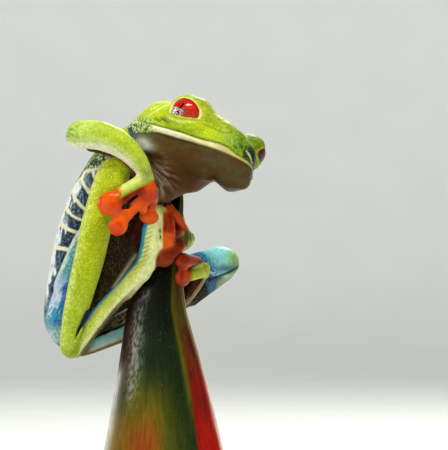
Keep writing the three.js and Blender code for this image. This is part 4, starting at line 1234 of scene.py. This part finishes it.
def bract_piece():
    rows, around = 241, 132
    line = spline(BRACT, np.linspace(0, len(BRACT) - 1, rows))
    turn = np.linspace(0, len(SECTION) - 1, around, endpoint=False)
    # a point closes the cut foot, and one above the last row closes the tip
    hubs = line[[0, -1]] + [(0, 0, 0, 0), (0, 0, 0.4, 0)]
    x, y, z, half = np.vstack([np.repeat(line, around, 0), hubs]).T
    u, v = np.vstack([np.tile(spline(SECTION, turn), (rows, 1)), np.zeros((2, 2))]).T

    def uneven(across, up, seed):
        return noise(np.stack([u * across, v * across, z / up], -1), 1.0, seed)

    half = half * (1 - 0.02 * uneven(9, 12, 71))
    points = np.stack([x + half * u, y + half * v, z], -1)
    bract = mesh_object("perch_stem", points, tube_faces(rows, around))
    n, blotch, crackle = uneven(14, 9, 72), uneven(5, 5, 73), uneven(40, 0.5, 74)
    front = v < 0
    c = Coat((16, 32, 8))
    c.over((10, 18, 5), fade(42, 46, z))
    c.over((28, 42, 20), fade(32, 24, z) * 0.6)
    # the left side: maroon above, tan below, with a painted grey sheen
    left = fade(-0.5, -0.62, u + 0.08 * (n - 0.5))
    c.over((52, 32, 20), left * fade(30, 40, z))
    c.over((28, 17, 8), left * fade(44, 47, z) * 0.8)
    c.over((112, 86, 40), left * fade(34, 26, z))
    middle = np.interp(z, [36, 46, 48.5, 50.7, 52], [-0.61, -0.61, -0.55, -0.385, -0.3])
    wide = np.interp(z, [30, 36, 45, 48.5, 51], [0.12, 0.16, 0.2, 0.22, 0.14])
    # painted sheen, a grey reflection with crackled highlights
    grey_sheen = bell((u - middle) / wide, 0.7) * fade(52, 50.5, z) * front * fade(27, 34, z)
    c.over((118, 122, 114), grey_sheen * 0.45)
    c.over((164, 168, 164), grey_sheen * fade(0.4, 0.62, crackle) * 0.7)
    # yellow to orange, rising from the foot
    glow = bell((u + 0.22) / (0.33 + 0.014 * (38 - z)), 0.75) * fade(40.5, 31, z + 4 * (n - 0.5))
    c.over((92, 86, 4), glow)
    low = z + 3 * (n - 0.5)
    c.over((120, 78, 4), glow * fade(34, 26.5, low) * fade(0.1, -0.15, u))
    c.over((140, 58, 6), bell((u + 0.36) / 0.2, 0.8) * fade(30.5, 23.5, low) * fade(0.1, 0, u))
    # the narrow right face: red below, olive above, with a yellow-green line along the edge
    red = Coat((158, 12, 3))
    red.over((122, 9, 2), fade(26, 33, z))
    red.over((96, 40, 4), fade(34, 41, z))
    red.over((78, 66, 6), fade(41, 47, z))
    red.over((60, 10, 4), fade(0.55, 0.8, blotch) * 0.5)
    c.over(red, np.append(np.tile(turn < 2.15, rows), [0, 0]) * fade(0.57, 0.62, u))
    c.over((92, 88, 6), bell((u - 0.57) / 0.055, 0.8) * front * fade(25, 36, z) * 0.9)
    # painted highlights along the right edge and, low down, the left edge
    c.over((246, 242, 230), bell((u - 1.0) / 0.05, 0.8) * fade(0.15, 0.3, n) * fade(56, 50, z) * 0.9)
    c.over((222, 218, 214), bell((u + 1.0) / 0.1, 0.8) * fade(40, 36, z) * 0.9)
    # the back: green with a red flush low down
    behind = fade(0.3, 0.42, v)
    c.over((46, 64, 24), behind * 0.8)
    c.over((130, 46, 14), behind * fade(38, 24, z + 5 * (n - 0.5)) * 0.7)
    set_paint(bract, c.rgb)
    return bract


bract = bract_piece()
bract.data.materials.append(bract_material())
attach(bract, "root")
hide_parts("perch_bract")


# ------------------------------------------------------------------ stand
def lathe(name, profile, turns):
    """A turned piece from a profile of radius and height in mm, closed at both ends on its axis."""
    (_, foot), *ring, (_, top) = profile
    turn = np.linspace(0, 2 * math.pi, turns, endpoint=False)
    points = [(r * math.cos(a), r * math.sin(a), h) for r, h in ring for a in turn]
    return mesh_object(name, [*points, (0, 0, foot), (0, 0, top)], tube_faces(len(ring), turns))


BASE_RADIUS, BASE_HEIGHT, BEVEL, ROD_RADIUS, PERCH_FOOT = 26.0, 5.0, 0.8, 2.0, 20.0
base_profile = [(0, 0), (BASE_RADIUS - 0.5, 0), (BASE_RADIUS, 0.5)]
for angle in np.radians(np.linspace(0, 90, 7)):
    base_profile.append((
        BASE_RADIUS - BEVEL + BEVEL * math.cos(angle), BASE_HEIGHT - BEVEL + BEVEL * math.sin(angle)
    ))
base_profile += [(22.3, 5.0), (22.1, 4.75), (21.7, 4.75), (21.5, 5.0)]
base_profile += [(3.4, 5.0), (3.1, 4.8), (2.2, 4.8), (0, 4.8)]
rod_profile = [(0, 4.85), (ROD_RADIUS, 4.85), (ROD_RADIUS, 5.0)]
rod_profile += [(ROD_RADIUS, 9.0), (1.8, 9.2), (1.8, 9.5), (ROD_RADIUS, 9.7)]
rod_profile += [(ROD_RADIUS, PERCH_FOOT), (0, PERCH_FOOT)]
base, rod = lathe("stand_plinth", base_profile, 128), lathe("stand_post", rod_profile, 64)
for obj, node, slot in ((base, "stand_base", "stand"), (rod, "stand_rod", "stand_rod")):
    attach(obj, "root")
    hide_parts(node)
base.data.materials.append(lacquer_material())
rod.data.materials.append(steel_material())
# Edges sharper than the angle in degrees are shaded crisp.
for obj, angle in ((base, 35), (rod, 35), (bract, 50)):
    obj.data.set_sharp_from_angle(angle=math.radians(angle))

# ------------------------------------------------------------------ camera, light, floor
scene = bpy.context.scene
camera = bpy.data.cameras.new("camera")
camera.lens, camera.sensor_width = 240, 36
camera.clip_start, camera.clip_end = 0.01, 10
viewer = bpy.data.objects.new("camera", camera)
viewer.location = Vector((11.17, -500.0, 61.5)) * MM
viewer.rotation_euler = (math.pi / 2, 0, 0)
scene.collection.objects.link(viewer)
scene.camera = viewer
scene.view_settings.view_transform = "Standard"


def area(name, place, size, power, colour=(1, 1, 1)):
    """A soft oval lamp, its width and height in metres and watts, turned towards the frog."""
    data = bpy.data.lights.new(name, "AREA")
    data.shape = "ELLIPSE"
    data.size, data.size_y = size
    data.energy = power
    data.color = colour
    obj = bpy.data.objects.new(name, data)
    obj.location = place
    obj.rotation_mode = "QUATERNION"
    obj.rotation_quaternion = (Vector((0, 0, 0.06)) - Vector(place)).to_track_quat("-Z", "Y")
    scene.collection.objects.link(obj)


area("key", (0.09, -0.25, 0.58), (0.3, 0.1), 3.4, (1.0, 0.985, 0.95))
area("fill", (-0.4, -0.66, 0.3), (0.9, 0.9), 2.6)
area("rim", (0.12, 0.4, 0.42), (0.16, 0.16), 2.3)
area("side", (-0.5, 0.12, 0.22), (0.16, 0.16), 0.8)
world = bpy.data.worlds.new("studio")
world.use_nodes = True
world.node_tree.nodes["Background"].inputs["Color"].default_value = (0.9, 0.94, 0.96, 1)
world.node_tree.nodes["Background"].inputs["Strength"].default_value = 0.2
scene.world = world

# Floor and backdrop in one sweep, in metres.
SWEEP_HALF, SWEEP_FRONT, SWEEP_BACK, SWEEP_CURVE, SWEEP_TOP = 2.5, -1.5, 0.7, 0.5, 2.5
profile = [(SWEEP_FRONT, 0.0)]
for angle in np.linspace(0, math.pi / 2, 17):
    profile.append((SWEEP_BACK + SWEEP_CURVE * math.sin(angle), SWEEP_CURVE * (1 - math.cos(angle))))
profile.append((SWEEP_BACK + SWEEP_CURVE, SWEEP_TOP))
sweep = np.array([(x, y, z) for y, z in profile for x in (-SWEEP_HALF, SWEEP_HALF)])
floor = mesh_object("floor", sweep / MM, [(i, i + 1, i + 3, i + 2) for i in range(0, len(sweep) - 2, 2)])
m = Nodes("floor")
pale = m.ramp(m.noise(40.0, 3.0), 0.3, (0.72, 0.74, 0.70, 1), 0.7, (0.75, 0.77, 0.73, 1))
m.put(Base_Color=pale, Roughness=0.9, Specular_IOR_Level=0.1, Emission_Color=pale)
# The wall behind looks as pale as the floor, without more light on the frog.
ray = m.add("ShaderNodeLightPath").outputs
seen = m.math("MAXIMUM", ray["Is Camera Ray"], ray["Is Glossy Ray"])
depth = m.add("ShaderNodeSeparateXYZ", {"Vector": m.place}).outputs["Y"]
inputs = {"Value": depth, "From Min": 0.2, "From Max": 1.1}
wall = m.add("ShaderNodeMapRange", inputs, interpolation_type="SMOOTHSTEP")
m.put(Emission_Strength=m.times(seen, wall.outputs["Result"], 0.5))
floor.data.materials.append(m.material)
